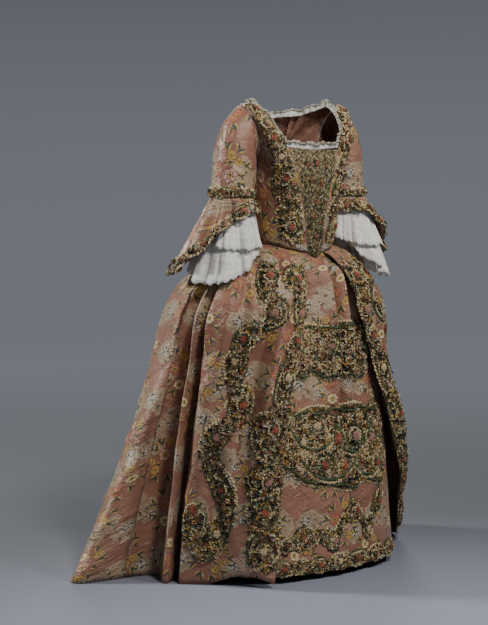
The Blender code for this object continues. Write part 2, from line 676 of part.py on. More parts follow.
def build_bodice():
    """Both bodice fronts and the robing trims that cover their front edges."""
    half = bodice_front()
    trimmed = trim_edges(half, 0.0, SEAM_GAP)
    trimmed[-1, :, 2] += SEAM_GAP / 2
    for side in (RIGHT, LEFT):
        grid = mirrored(trimmed, side)
        normals = -side * grid_normals(grid)
        wall(side_name("bodice_front", side), grid, grid - normals * CLOTH, ROSE)

        def place(a, b):
            return ROBING_COLUMNS * b, ROBING_INSET + a * (BODICE_ROWS - 2 * ROBING_INSET)

        overlay(side_name("robing_trim", side), grid, normals, place, 2 * BODICE_ROWS - 1,
                ROBING_COLUMNS, ruche(ROBING_THICKNESS, ROBING_PUFFS), GOLD_TRIM)


# ---- skirt trims ---------------------------------------------------------------------------------
# Centre of the serpentine trim: height and distance from the front edge of the skirt.
SERPENTINE = (
    # height  distance
    (0.905, 0.100),
    (0.843, 0.130),
    (0.769, 0.098),
    (0.713, 0.165),
    (0.656, 0.188),
    (0.586, 0.180),
    (0.529, 0.150),
    (0.473, 0.156),
    (0.436, 0.200),
    (0.368, 0.216),
    (0.280, 0.172),
    (0.207, 0.150),
    (0.150, 0.182),
    (0.092, 0.218),
    (0.140, 0.248),
    (0.215, 0.248),
)
SERPENTINE_REACH = {RIGHT: 1.0, LEFT: 0.86}   # the left skirt is narrower before its folds
SERPENTINE_WIDTH = 0.040
SERPENTINE_STEPS = 40
SERPENTINE_THICKNESS = 0.010
SERPENTINE_PUFFS = 12
EDGE_INSET = 0.004            # from the front edge to the trim beside it
EDGE_STEPS = 26
EDGE_THICKNESS = 0.009
EDGE_PUFFS = 9
EDGE_TRIM = (
    # height  outer edge's distance from the front edge
    (0.905, 0.050),
    (0.840, 0.042),
    (0.780, 0.030),
    (0.715, 0.024),
    (0.650, 0.040),
    (0.530, 0.046),
    (0.470, 0.074),
    (0.360, 0.062),
    (0.300, 0.070),
    (0.220, 0.064),
    (0.130, 0.058),
    (0.045, 0.056),
)


def build_skirt_trims(panels):
    """The trim along each front edge of the gown and the serpentine beside it."""
    path = np.array(SERPENTINE)
    edge = np.array(EDGE_TRIM)
    for side, (grid, normals) in panels.items():
        def edge_place(a, b):
            height, reach = table_curve(a * (len(edge) - 1), np.arange(len(edge)), edge)[0]
            return locate(grid, EDGE_INSET + (reach - EDGE_INSET) * b, height)

        overlay(side_name("skirt_edge_trim", side), grid, normals, edge_place, EDGE_STEPS, 2,
                ruche(EDGE_THICKNESS, EDGE_PUFFS), GOLD_TRIM)

        def winding(a):
            return table_curve(a * (len(path) - 1), np.arange(len(path)), path)[0]

        def serpentine_place(a, b):
            here = winding(a)
            step = 0.25 / SERPENTINE_STEPS
            heading = winding(min(1, a + step)) - winding(max(0, a - step))
            heading = heading / np.linalg.norm(heading)
            offset = (b - 0.5) * SERPENTINE_WIDTH
            return locate(grid, here[1] * SERPENTINE_REACH[side] + heading[0] * offset,
                          here[0] - heading[1] * offset)

        overlay(side_name("serpentine_trim", side), grid, normals, serpentine_place,
                SERPENTINE_STEPS, 2, ruche(SERPENTINE_THICKNESS, SERPENTINE_PUFFS), GOLD_TRIM)


# ---- sleeves and what falls from them -------------------------------------------------------------
def sleeve_grid():
    """Left sleeve: a closed tube from the armhole to the elbow."""
    turns = 360 * np.arange(SLEEVE_SEGMENTS) / SLEEVE_SEGMENTS
    lean = ARMHOLE_TOP - ARMHOLE_BOTTOM
    away = np.array([lean[2], 0.0, -lean[0]]) / np.linalg.norm(lean)
    rings = [[armhole(turn) + away * SEAM_GAP for turn in turns]]
    for x, y, height, tilt, half_width, half_depth in SLEEVE:
        tilt = math.radians(tilt)
        across = np.array([math.cos(tilt), 0, math.sin(tilt)]) * half_width
        ring = []
        for turn in np.radians(turns):
            forward = np.array([0, -half_depth, 0])
            centre = np.array([x, y, height])
            ring.append(centre + across * math.cos(turn) + forward * math.sin(turn))
        rings.append(ring)
    return np.array(rings)


def fall_grid(point, radius, top, short, long, flare_short, flare_long, sharpness, rows):
    """Left fall from the elbow: a flared, waved tube, longest at its point."""
    grid = []
    hidden = max(0.0, top - ELBOW[2])
    shares = np.linspace(0, 1, rows + 1)
    if hidden > 0:
        hidden += SLEEVE_CLEARANCE
        shares = np.append(-1, np.linspace(0, 1, rows))
    for v in shares:
        ring = []
        for k in range(FALL_SEGMENTS):
            angle = 2 * math.pi * k / FALL_SEGMENTS
            towards = (1 + math.cos(angle - math.radians(point))) / 2
            share = towards ** sharpness
            drop = short + (long - short) * share
            spread = 1 - (1 - BODY_SIDE_FLARE) * ((1 - math.cos(angle)) / 2) ** 2
            wave = WAVE_DEPTH * math.cos(FALL_WAVES * angle)
            flare = flare_short + (flare_long - flare_short) * share + wave
            reach = radius + flare * max(0.0, v) * spread
            level = top if v < 0 else top - hidden - (drop - hidden) * v
            ring.append([ELBOW[0] + reach * math.cos(angle), ELBOW[1] - reach * math.sin(angle),
                         level])
        grid.append(ring)
    return np.array(grid)


def build_sleeves():
    """Sleeves, the header band at each elbow, the flounces and the lace engageantes."""
    tube = sleeve_grid()
    for side in (RIGHT, LEFT):
        grid = mirrored(tube, side)
        normals = side * grid_normals(grid, closed=True)
        wall(side_name("sleeve", side), grid, grid - normals * CLOTH, ROSE, closed=True)
        wrapped = np.concatenate([grid, grid[:, :1]], axis=1)
        wrapped_normals = np.concatenate([normals, normals[:, :1]], axis=1)
        last_row = grid.shape[0] - 1

        def header_place(a, b):
            return a * SLEEVE_SEGMENTS, last_row + np.interp(b, (0, 1), HEADER_ROWS)

        overlay(side_name("sleeve_header", side), wrapped, wrapped_normals, header_place,
                2 * SLEEVE_SEGMENTS, 2, ruche(HEADER_THICKNESS, HEADER_PUFFS), GOLD_TRIM,
                closed=True)
        for name, *sizes in FALLS:
            silk = name == "flounce"
            rows = FLOUNCE_ROWS if silk else LACE_ROWS
            fall_points = mirrored(fall_grid(*sizes, rows), side)
            fall_normals = side * grid_normals(fall_points, closed=True)
            thick = CLOTH if silk else LACE
            wall(side_name(name, side), fall_points, fall_points - fall_normals * thick,
                 ROSE if silk else WHITE_LACE, closed=True)
            if silk:
                build_flounce_edging(fall_points, fall_normals, side)


def build_flounce_edging(grid, normals, side):
    """Ruched edging on the outside of the flounce, near its lower edge."""
    wrapped = np.concatenate([grid, grid[:, :1]], axis=1)
    wrapped_normals = np.concatenate([normals, normals[:, :1]], axis=1)
    last_row = grid.shape[0] - 1

    def place(a, b):
        return a * FALL_SEGMENTS, last_row + np.interp(b, (0, 1), EDGING_ROWS)

    overlay(side_name("flounce_edging", side), wrapped, wrapped_normals, place,
            FALL_SEGMENTS, 1, lambda a, b: EDGING_THICKNESS, GOLD_TRIM, closed=True)


# ---- neck frill -------------------------------------------------------------------------------------
FRILL_STEPS = 48
FRILL_WAVES = 12
FRILL_INSET = 0.0042        # from the neck edge to the foot of the frill, inside it
FRILL_MIDDLE = np.array([0.0, -0.02, 0.0])
FRILL_ROWS = (
    # rise    share of the wave  lean outwards
    (-0.006, 0.2, 0.000),
    (0.009, 0.6, 0.000),
    (0.020, 1.0, 0.003),
)
FRILL_WAVE = 0.0045
FRONT_CENTRE = (0.0, -0.108, 1.238)
BACK_CENTRE = (0.0, 0.096, 1.334)
FRONT_SHARES = np.linspace(STOMACHER_TOP + 0.03, 0.99, 9)   # along the bodice's front edge
NECK_FOLDS = ("neck_corner", "under_fold")                  # folds that meet the neckline


def neck_path():
    """Points of the neckline, right round from centre front over the wearer's left."""
    edge = np.array(FRONT_EDGE)
    left_front = table_curve(FRONT_SHARES, edge[:, 0], edge[:, 1:])
    left_back = np.array([row[3] for row in SACK if row[0] in NECK_FOLDS])
    half = np.concatenate([[FRONT_CENTRE], left_front, left_back, [BACK_CENTRE]])
    other = half[1:-1][::-1] * np.array([-1, 1, 1])
    return np.concatenate([half, other, half[:1]])


def build_neck_frill():
    """Waved lace frill that stands along the neckline, sewn just inside its edge."""
    ring = neck_path()
    length = np.concatenate([[0], np.cumsum(np.linalg.norm(np.diff(ring, axis=0), axis=1))])
    steps = np.arange(FRILL_STEPS) / FRILL_STEPS
    path = np.column_stack([np.interp(steps * length[-1], length, ring[:, axis])
                            for axis in range(3)])
    outwards = path - FRILL_MIDDLE
    outwards[:, 2] = 0
    outwards /= np.linalg.norm(outwards, axis=1, keepdims=True)
    base = path - outwards * FRILL_INSET
    wave = FRILL_WAVE * np.cos(2 * math.pi * FRILL_WAVES * steps)[:, None]
    grid = np.array([base + outwards * (wave * share + lean) + np.array([0, 0, rise])
                     for rise, share, lean in FRILL_ROWS])
    normals = grid_normals(grid, closed=True)
    wall("neck_frill", grid, grid - normals * LACE, WHITE_LACE, closed=True)


def clear_scene():
    """Empty the scene of whatever it starts with."""
    for item in list(bpy.data.objects):
        bpy.data.objects.remove(item)


def main():
    """Build every piece of the gown, the stomacher and the petticoat."""
    clear_scene()
    panels = build_gown()
    build_petticoat()
    build_stomacher()
    build_bodice()
    build_skirt_trims(panels)
    build_sleeves()
    build_neck_frill()


main()
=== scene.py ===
"""Robe a la francaise, dressed: silk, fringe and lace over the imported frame.

The wearer's front faces -Y and the wearer's right is -X.  Heights in the tables are above the
floor; every mesh is lowered so that the origin lies between the shoulders.
"""
import math

import bpy
import numpy as np
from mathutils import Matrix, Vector


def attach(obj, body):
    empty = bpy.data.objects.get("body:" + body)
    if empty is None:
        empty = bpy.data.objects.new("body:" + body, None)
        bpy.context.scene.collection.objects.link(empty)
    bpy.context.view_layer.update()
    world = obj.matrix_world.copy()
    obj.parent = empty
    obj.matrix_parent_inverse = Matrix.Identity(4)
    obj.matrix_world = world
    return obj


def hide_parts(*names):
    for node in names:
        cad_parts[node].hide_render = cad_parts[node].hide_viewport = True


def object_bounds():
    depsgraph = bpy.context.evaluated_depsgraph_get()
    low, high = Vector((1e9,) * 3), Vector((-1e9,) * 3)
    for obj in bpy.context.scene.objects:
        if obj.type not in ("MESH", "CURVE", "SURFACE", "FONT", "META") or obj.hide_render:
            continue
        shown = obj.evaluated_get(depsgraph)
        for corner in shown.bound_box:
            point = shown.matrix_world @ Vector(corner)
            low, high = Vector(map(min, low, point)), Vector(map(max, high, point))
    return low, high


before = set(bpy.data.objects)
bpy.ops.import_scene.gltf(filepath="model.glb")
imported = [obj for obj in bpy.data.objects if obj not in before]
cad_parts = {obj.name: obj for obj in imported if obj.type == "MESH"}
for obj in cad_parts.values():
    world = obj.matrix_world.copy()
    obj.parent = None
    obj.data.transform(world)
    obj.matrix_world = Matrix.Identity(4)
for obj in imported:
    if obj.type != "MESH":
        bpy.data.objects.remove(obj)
cad_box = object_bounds()

# ---- sizes of the frame's solids, in metres ----------------------------------------------------
SHOULDER_HEIGHT = 1.36      # top of the shoulder seam above the floor
UNDERARM_HEIGHT = 1.2167    # lowest point of the armhole
WAIST_HEIGHT = 0.965        # waist seam at the side
WAIST_DIP = 0.027           # how far the waist seam drops at the front edge
HIP_HEIGHT = 0.80           # widest level over the hip pads
KNEE_HEIGHT = 0.40

SEAM_GAP = 0.0008           # between neighbouring pieces
CLOTH = 0.0018              # wall of the frame's cloth

WAIST_HALF_WIDTH = 0.121
WAIST_FRONT = 0.110
WAIST_BACK = 0.090
ROUNDNESS = 2.3             # superellipse power of the waist

ARMHOLE_TOP = np.array([0.1898, 0.002, 1.3603])
ARMHOLE_BOTTOM = np.array([0.1405, 0.002, UNDERARM_HEIGHT])
ARMHOLE_HALF_DEPTH = 0.056
ARMHOLE_STEPS = 8           # rows from underarm to shoulder seam, on each side of the arm
SLEEVE_SEGMENTS = 2 * ARMHOLE_STEPS

ELBOW = np.array([0.2155, 0.004, 1.098])

RIGHT, LEFT = -1, 1

# Inner edge of the bodice front: share of the way from waist to shoulder, and the place.
FRONT_EDGE = (
    # share   x       y       height
    (0.00, 0.027, -0.111, 0.938),
    (0.20, 0.037, -0.112, 1.030),
    (0.38, 0.058, -0.114, 1.120),
    (0.52, 0.079, -0.113, 1.195),
    (0.60, 0.094, -0.107, 1.235),
    (0.75, 0.122, -0.088, 1.277),
    (0.88, 0.139, -0.055, 1.330),
    (1.00, 0.152, 0.002, 1.368),
)

# Skirt folds from the front edge to the side, on the wearer's right.
# turn is the angle round the waist from centre front, in degrees.
SKIRT_RIGHT = (
    # fold          turn  hip x   hip y   knee x  knee y  hem x   hem y   hem height
    ("front_edge",  17, 0.094, -0.178, 0.190, -0.205, 0.242, -0.222, 0.012),
    ("front_flat",  28, 0.148, -0.182, 0.226, -0.198, 0.272, -0.196, 0.026),
    ("front_lift",  40, 0.200, -0.174, 0.262, -0.176, 0.302, -0.152, 0.034),
    ("front_side",  52, 0.250, -0.154, 0.300, -0.138, 0.334, -0.100, 0.016),
    ("pocket_fold", 60, 0.286, -0.124, 0.328, -0.106, 0.356, -0.066, 0.002),
    ("round_pleat", 68, 0.318, -0.104, 0.354, -0.078, 0.388, -0.034, 0.000),
    ("crisp_fold",  76, 0.343, -0.062, 0.393, -0.026, 0.416, -0.006, 0.000),
    ("gap_one",     80, 0.320, -0.034, 0.345, 0.048, 0.368, 0.084, 0.000),
    ("side_pleat",  86, 0.348, -0.016, 0.404, 0.020, 0.450, 0.026, 0.000),
    ("gap_two",     92, 0.326, 0.010, 0.368, 0.092, 0.430, 0.136, 0.000),
)

# The same folds on the wearer's left, where the front edge falls further back.
SKIRT_LEFT = (
    # fold          turn  hip x   hip y   knee x  knee y  hem x   hem y   hem height
    ("front_edge",  17, 0.106, -0.176, 0.255, -0.178, 0.474, 0.034, 0.012),
    ("front_flat",  28, 0.148, -0.176, 0.285, -0.164, 0.498, 0.052, 0.016),
    ("front_lift",  40, 0.188, -0.162, 0.312, -0.140, 0.518, 0.078, 0.010),
    ("front_side",  52, 0.222, -0.138, 0.334, -0.106, 0.540, 0.110, 0.004),
    ("pocket_fold", 60, 0.248, -0.112, 0.348, -0.070, 0.552, 0.142, 0.000),
    ("round_pleat", 68, 0.276, -0.086, 0.374, -0.030, 0.580, 0.168, 0.000),
    ("crisp_fold",  76, 0.304, -0.054, 0.402, 0.014, 0.600, 0.206, 0.000),
    ("gap_one",     80, 0.292, -0.028, 0.366, 0.062, 0.510, 0.232, 0.000),
    ("side_pleat",  86, 0.318, -0.010, 0.412, 0.058, 0.606, 0.238, 0.000),
    ("gap_two",     92, 0.306, 0.014, 0.380, 0.104, 0.520, 0.272, 0.000),
)

# Folds of half the sack back, from the side-back seam to the centre.  blade is how far the
# cloth swells over the shoulder blade; fit is 1 where the cloth is fitted to the waist and 0
# where the pleats hang free from the neck.
SACK = (
    # fold, blade, fit, neck (x, y, height),
    #     under the arm, waist, hip, knee and hem (x, y)
    ("seam", 0.000, 1.00, (0.1898, 0.003, 1.3603),
     (0.1405, 0.002), (0.121, 0.014), (0.350, 0.040), (0.414, 0.116), (0.500, 0.155)),
    ("train_ridge", 0.042, 1.00, (0.1780, 0.005, 1.3632),
     (0.126, 0.058), (0.113, 0.045), (0.330, 0.136), (0.448, 0.154), (0.645, 0.185)),
    ("side_back", 0.034, 0.90, (0.1650, 0.007, 1.3660),
     (0.110, 0.094), (0.097, 0.072), (0.296, 0.200), (0.400, 0.262), (0.545, 0.322)),
    ("neck_corner", 0.030, 0.75, (0.1520, 0.010, 1.3680),
     (0.096, 0.106), (0.086, 0.086), (0.256, 0.198), (0.354, 0.278), (0.478, 0.366)),
    ("under_fold", 0.010, 0.50, (0.1060, 0.076, 1.3420),
     (0.080, 0.114), (0.074, 0.104), (0.204, 0.196), (0.300, 0.296), (0.418, 0.408)),
    ("low_edge", 0.006, 0.25, (0.1080, 0.085, 1.3430),
     (0.100, 0.126), (0.116, 0.140), (0.188, 0.238), (0.304, 0.348), (0.424, 0.466)),
    ("low_return", 0.006, 0.00, (0.0820, 0.088, 1.3390),
     (0.078, 0.127), (0.084, 0.146), (0.138, 0.226), (0.232, 0.362), (0.330, 0.502)),
    ("top_edge", 0.006, 0.00, (0.0860, 0.097, 1.3400),
     (0.088, 0.137), (0.102, 0.178), (0.142, 0.278), (0.238, 0.412), (0.328, 0.568)),
    ("top_plate", 0.006, 0.00, (0.0480, 0.104, 1.3360),
     (0.050, 0.144), (0.060, 0.188), (0.086, 0.292), (0.150, 0.452), (0.214, 0.636)),
    ("inner_edge", 0.006, 0.00, (0.0100, 0.106, 1.3340),
     (0.011, 0.145), (0.016, 0.187), (0.026, 0.288), (0.058, 0.452), (0.096, 0.684)),
    ("inner_return", 0.006, 0.00, (0.0150, 0.097, 1.3340),
     (0.018, 0.134), (0.026, 0.170), (0.040, 0.262), (0.056, 0.420), (0.074, 0.640)),
    ("centre", 0.006, 0.00, (0.0000, 0.096, 1.3340),
     (0.000, 0.132), (0.000, 0.166), (0.000, 0.256), (0.000, 0.414), (0.000, 0.628)),
)

# Where the same folds meet the floor on the wearer's left, if elsewhere: the train spreads less.
LEFT_HEM = {
    "seam": (0.562, 0.292),
    "train_ridge": (0.600, 0.322),
    "side_back": (0.526, 0.388),
    "neck_corner": (0.462, 0.420),
    "under_fold": (0.393, 0.408),
    "low_edge": (0.399, 0.466),
    "low_return": (0.310, 0.502),
    "top_edge": (0.308, 0.568),
}

# Petticoat outline at each level.
PETTICOAT = (
    # height  right  left    front    back   roundness
    (0.958, 0.094, 0.094, -0.1116, 0.078, 2.0),
    (0.930, 0.122, 0.122, -0.1116, 0.100, 2.0),
    (0.880, 0.224, 0.222, -0.138, 0.140, 2.2),
    (0.800, 0.286, 0.278, -0.154, 0.165, 2.4),
    (0.600, 0.300, 0.306, -0.168, 0.195, 2.4),
    (0.400, 0.308, 0.328, -0.186, 0.225, 2.5),
    (0.200, 0.318, 0.346, -0.202, 0.265, 2.5),
    (0.020, 0.330, 0.360, -0.218, 0.310, 2.5),
)

# Sleeve rings for the wearer's left arm, from the armhole down.
SLEEVE = (
    # centre x, y, height      tilt  half width  half depth
    (0.1920, 0.002, 1.2620, 48.0, 0.0660, 0.0590),
    (0.2040, 0.002, 1.2250, 22.0, 0.0630, 0.0630),
    (0.2080, 0.003, 1.1770, 12.0, 0.0630, 0.0640),
    (0.2120, 0.004, 1.1350, 5.0, 0.0625, 0.0635),
    (ELBOW[0], ELBOW[1], ELBOW[2], 0.0, 0.0620, 0.0620),
)

# Falls at the elbow.  Each is longest at its point, a direction in degrees from outwards
# towards the front, and shortest opposite.
FALLS = (
    # name              point  radius  top     short  long   flare short, long  sharpness
    ("flounce",          -40, 0.0620, 1.0974, 0.042, 0.225, 0.030, 0.118, 2.4),
    ("engageante_upper",  70, 0.0581, 1.1080, 0.090, 0.160, 0.026, 0.060, 0.9),
    ("engageante_lower",  20, 0.0560, 1.1060, 0.105, 0.255, 0.014, 0.084, 1.3),
)
FALL_SEGMENTS = 40
FALL_WAVES = 10
WAVE_DEPTH = 0.0085
BODY_SIDE_FLARE = 0.25      # what is left of the flare where a fall hangs beside the body
SLEEVE_CLEARANCE = 0.002    # a lace fall stays straight until this far below the sleeve
FLOUNCE_ROWS = 4            # coarse rows of a flounce, on which its edging is placed
HEADER_ROWS = (-0.62, -0.06)    # top and bottom of the header, in rows from the sleeve's end
EDGING_TOP = 0.85           # rows from the flounce's edge up to the top of its edging



# ---- curves shared with the frame --------------------------------------------------------------
def mirrored(grid, side):
    """The grid on the wearer's left, or its mirror image for the right."""
    return grid * np.array([side, 1.0, 1.0])


def side_name(name, side):
    return name + ("_right" if side == RIGHT else "_left")


ROBING_COLUMNS = 4            # columns of the bodice front that the robing trim covers
ROBING_INSET = 0.25           # rows left clear at each end of it
STOMACHER_TOP = 0.60          # share of the front edge at which the stomacher ends
STOMACHER_BULGE = 0.003
TIP_SHARE = 0.10              # share of the front edge over which the point is drawn out
TIP_FORWARD = 0.006
TIP_DROP = 0.016


def hermite(first, start, last, end, t):
    """Cubic from first to last with the given tangents, at a share t of the way."""
    return (first * (1 + 2 * t) * (1 - t) ** 2 + start * t * (1 - t) ** 2
            + last * t * t * (3 - 2 * t) + end * t * t * (t - 1))


def table_curve(where, knots, values):
    """Smooth curve through values at knots that never overshoots between them."""
    where = np.atleast_1d(np.asarray(where, float))
    knots = np.asarray(knots, float)
    values = np.asarray(values, float)
    flat = values.reshape(len(knots), -1)
    step = np.diff(knots)[:, None]
    slope = np.diff(flat, axis=0) / step
    tangent = np.zeros_like(flat)
    same = slope[:-1] * slope[1:] > 0
    safe = np.where(same, slope[:-1] + slope[1:], 1.0)
    tangent[1:-1] = np.where(same, 2 * slope[:-1] * slope[1:] / safe, 0.0)
    tangent[0] = slope[0]
    tangent[-1] = slope[-1]
    cell = np.clip(np.searchsorted(knots, where, side="right") - 1, 0, len(knots) - 2)
    h = step[cell]
    t = ((where - knots[cell]) / step[cell, 0])[:, None]
    curve = hermite(flat[cell], tangent[cell] * h, flat[cell + 1], tangent[cell + 1] * h, t)
    return curve.reshape((len(where),) + values.shape[1:])


def table_row(table, share):
    """Row of a table at a share of its length, smooth between its rows."""
    return table_curve(share * (len(table) - 1), np.arange(len(table)), table)[0]


SIDE_ROWS = 2               # rows from the waist to the underarm
BODICE_ROWS = SIDE_ROWS + ARMHOLE_STEPS
BODICE_COLUMNS = 8
SIDE_WAIST = np.array([0.121, 0.014, WAIST_HEIGHT])
SIDE_SWELL = 0.003          # how far the side seam curves outwards
CHEST_SWELL = 0.004
CORNER_WEIGHT = 1.5         # how squarely the front turns into the side; 2 would be a parabola


def armhole(turn):
    """Point of the left armhole; turn is 0 at the shoulder, 90 in front, 180 under the arm."""
    centre = (ARMHOLE_TOP + ARMHOLE_BOTTOM) / 2
    half = (ARMHOLE_TOP - ARMHOLE_BOTTOM) / 2
    angle = math.radians(turn)
    forward = np.array([0, -ARMHOLE_HALF_DEPTH, 0])
    return centre + half * math.cos(angle) + forward * math.sin(angle)


def waist_point(turn):
    """Point of the left half of the waist seam, turned in degrees from centre front."""
    angle = math.radians(turn)
    s, c = math.sin(angle), math.cos(angle)
    power = 2 / ROUNDNESS
    reach = WAIST_FRONT if c > 0 else WAIST_BACK
    drop = WAIST_DIP * max(0.0, math.cos(math.radians(min(90.0, turn)))) ** 2
    return np.array([WAIST_HALF_WIDTH * abs(s) ** power * math.copysign(1, s),
                     -reach * abs(c) ** power * math.copysign(1, c), WAIST_HEIGHT - drop])


def side_seam(share):
    """Side seam from the waist (0) to the underarm (1)."""
    swell = np.array([SIDE_SWELL, 0.0, 0.0]) * math.sin(math.pi * share)
    return SIDE_WAIST * (1 - share) + ARMHOLE_BOTTOM * share + swell


def outer_edge(row, back=False):
    """Side seam and armhole edge of the left bodice, by row from the waist up."""
    if row <= SIDE_ROWS:
        return side_seam(row / SIDE_ROWS)
    turn = 180 - 180 * (row - SIDE_ROWS) / ARMHOLE_STEPS
    return armhole(-turn if back else turn)


def bodice_front():
    """Left bodice front, rows from the shoulder down, columns from the front edge outwards."""
    edge = np.array(FRONT_EDGE)
    rows = []
    for row in range(BODICE_ROWS, -1, -1):
        inner = table_curve(row / BODICE_ROWS, edge[:, 0], edge[:, 1:])[0]
        outer = outer_edge(row)
        corner = np.array([max(inner[0], outer[0]), min(inner[1], outer[1]),
                           (inner[2] + outer[2]) / 2 + CHEST_SWELL])
        points = []
        for share in np.linspace(0, 1, BODICE_COLUMNS + 1):
            weights = np.array([(1 - share) ** 2, CORNER_WEIGHT * share * (1 - share), share ** 2])
            weights /= weights.sum()
            points.append(weights[0] * inner + weights[1] * corner + weights[2] * outer)
        rows.append(points)
    return np.array(rows)


def trim_edges(grid, left, right):
    """Move the first and last columns of a grid inwards by the given distances."""
    grid = grid.copy()
    for end, inward, gap in ((0, 1, left), (-1, -2, right)):
        step = grid[:, inward] - grid[:, end]
        grid[:, end] += step / np.linalg.norm(step, axis=1, keepdims=True) * gap
    return grid


DOME_ROWS, THIGH_ROWS, CALF_ROWS = 4, 2, 3
DOME_POWER = 1.48              # 1 would be a round dome over the hip, 2 a straight slope
SKIRT_BREAK = BODICE_ROWS      # row of the whole gown grid at which the skirts begin


def fall(waist, hip, knee, hem):
    """Column of points from the waist over the hip to the hem."""
    points = []
    for share in np.arange(DOME_ROWS) / DOME_ROWS:
        swing = math.radians(90 * share)
        level = waist[2] + (hip[2] - waist[2]) * (1 - math.cos(swing) ** DOME_POWER)
        plan = waist[:2] + (hip[:2] - waist[:2]) * math.sin(swing) ** DOME_POWER
        points.append([plan[0], plan[1], level])
    steps = np.concatenate([np.linspace(0, 1, THIGH_ROWS + 1)[:-1],
                            1 + np.linspace(0, 1, CALF_ROWS + 1)])
    low = table_curve(steps, [0, 1, 2], np.array([hip, knee, hem]))
    return np.concatenate([np.array(points), low])


def skirt_columns(table):
    """Fold lines of a front skirt, for the wearer's left."""
    lines = []
    for _, turn, hip_x, hip_y, knee_x, knee_y, *hem in table:
        waist = waist_point(turn)
        waist[2] -= SEAM_GAP + CLOTH
        lines.append(fall(waist, np.array([hip_x, hip_y, HIP_HEIGHT]),
                          np.array([knee_x, knee_y, KNEE_HEIGHT]), np.array(hem)))
    return lines


def sack_columns(side):
    """Fold lines of half the sack back, from the side seam to the centre, for the left."""
    lines = []
    for name, blade, fit, *places in SACK:
        neck, under, waist, hip, knee, hem = (np.array(place) for place in places)
        if side == LEFT:
            hem = np.array(LEFT_HEM.get(name, hem))
        if name == "seam":
            upper = np.array([outer_edge(r, back=True) for r in range(BODICE_ROWS, 0, -1)])
        else:
            turns = np.linspace(0, math.pi, ARMHOLE_STEPS + 1)
            armhole_levels = neck[2] + (UNDERARM_HEIGHT - neck[2]) * (1 - np.cos(turns)) / 2
            side_levels = np.linspace(UNDERARM_HEIGHT, WAIST_HEIGHT, SIDE_ROWS + 1)[1:-1]
            levels = np.concatenate([armhole_levels, side_levels])
            plan = table_curve(-levels, [-neck[2], -UNDERARM_HEIGHT, -WAIST_HEIGHT],
                               np.array([neck[:2], under, waist]))
            plan[:ARMHOLE_STEPS + 1, 1] += blade * np.sin(turns)
            upper = np.column_stack([plan, levels])
        top, low = np.append(waist, WAIST_HEIGHT), np.append(hip, HIP_HEIGHT)
        mid, end = np.append(knee, KNEE_HEIGHT), np.append(hem, 0.0)
        fitted = fall(top, low, mid, end)
        levels = fitted[:, 2]
        free = table_curve(-levels, [-WAIST_HEIGHT, -HIP_HEIGHT, -KNEE_HEIGHT, 0.0],
                           np.array([top, low, mid, end]))
        lines.append(np.concatenate([upper, fitted * fit + free * (1 - fit)]))
    return lines


def between(lines, sharp):
    """Fold lines with a smooth column half way between each two that aren't sharp.

    Also gives the new place of each fold line.
    """
    full, places = [], []
    last = len(lines) - 1
    for k, line in enumerate(lines):
        places.append(len(full))
        full.append(line)
        if k == last or k in sharp or k + 1 in sharp:
            continue
        before = 0 if k == 0 else (lines[k + 1] - lines[k - 1]) / 2
        after = 0 if k + 1 == last else (lines[k + 2] - line) / 2
        full.append((line + lines[k + 1]) / 2 + (before - after) / 8)
    return full, places


FURBELOWS = (
    # name, (distance, top height, bottom height) at each knot, scallops
    ("furbelow_upper", ((-0.128, 0.722, 0.600), (0.000, 0.716, 0.590), (0.152, 0.722, 0.575)),
     3.0),
    ("furbelow_lower", ((-0.158, 0.470, 0.330), (0.020, 0.482, 0.262), (0.205, 0.470, 0.262)),
     2.5),
    ("petticoat_serpentine", ((-0.190, 0.120, 0.078), (-0.120, 0.150, 0.100),
                              (-0.060, 0.150, 0.098), (-0.010, 0.128, 0.080),
                              (0.040, 0.200, 0.150), (0.090, 0.206, 0.158),
                              (0.130, 0.146, 0.096), (0.170, 0.206, 0.158),
                              (0.215, 0.240, 0.192)), 0.0),
    ("petticoat_hem_trim", ((-0.215, 0.062, 0.024), (0.000, 0.062, 0.024),
                            (0.300, 0.066, 0.024)), 0.0),
)
FURBELOW_DEPTH = {"furbelow_upper": 0.011, "furbelow_lower": 0.012}
SCALLOP = 0.018             # depth of the scallops along a furbelow's lower edge

PETTICOAT_COLUMNS = 48
PETTICOAT_ROWS = 7
PETTICOAT_PLEATS = 12
FRONT_FOLD = 0.0022        # soft folds in front
SIDE_PLEAT = 0.0100        # pleats at the sides and back, at the hem
PLEAT_START = 0.33         # share of the way down by which the pleats are fully deep
PLEAT_WIDTH = 0.3          # half width over which a pleat moves the cloth sideways


def petticoat_grid():
    """Closed tube, columns from centre front towards the wearer's right."""
    table = np.array(PETTICOAT)
    levels = np.linspace(0, 1, PETTICOAT_ROWS + 1)
    knots = np.linspace(0, 1, len(table))
    rows = []
    for share in levels:
        height, right, left, front, back, power = table_curve(share, knots, table)[0]
        middle, reach = (front + back) / 2, (back - front) / 2
        row = []
        for column in range(PETTICOAT_COLUMNS):
            angle = 2 * math.pi * column / PETTICOAT_COLUMNS
            s, c = math.sin(angle), math.cos(angle)
            half = right if s > 0 else left
            x = -half * abs(s) ** (2 / power) * math.copysign(1, s)
            y = middle - reach * abs(c) ** (2 / power) * math.copysign(1, c)
            backness = (1 - c) / 2
            depth = FRONT_FOLD * (1 - backness) + SIDE_PLEAT * backness * share
            wave = depth * math.cos(PETTICOAT_PLEATS * angle) * min(1.0, share / PLEAT_START)
            row.append([x * (1 - wave / PLEAT_WIDTH), y - wave * c, height])
        rows.append(row)
    return np.array(rows)


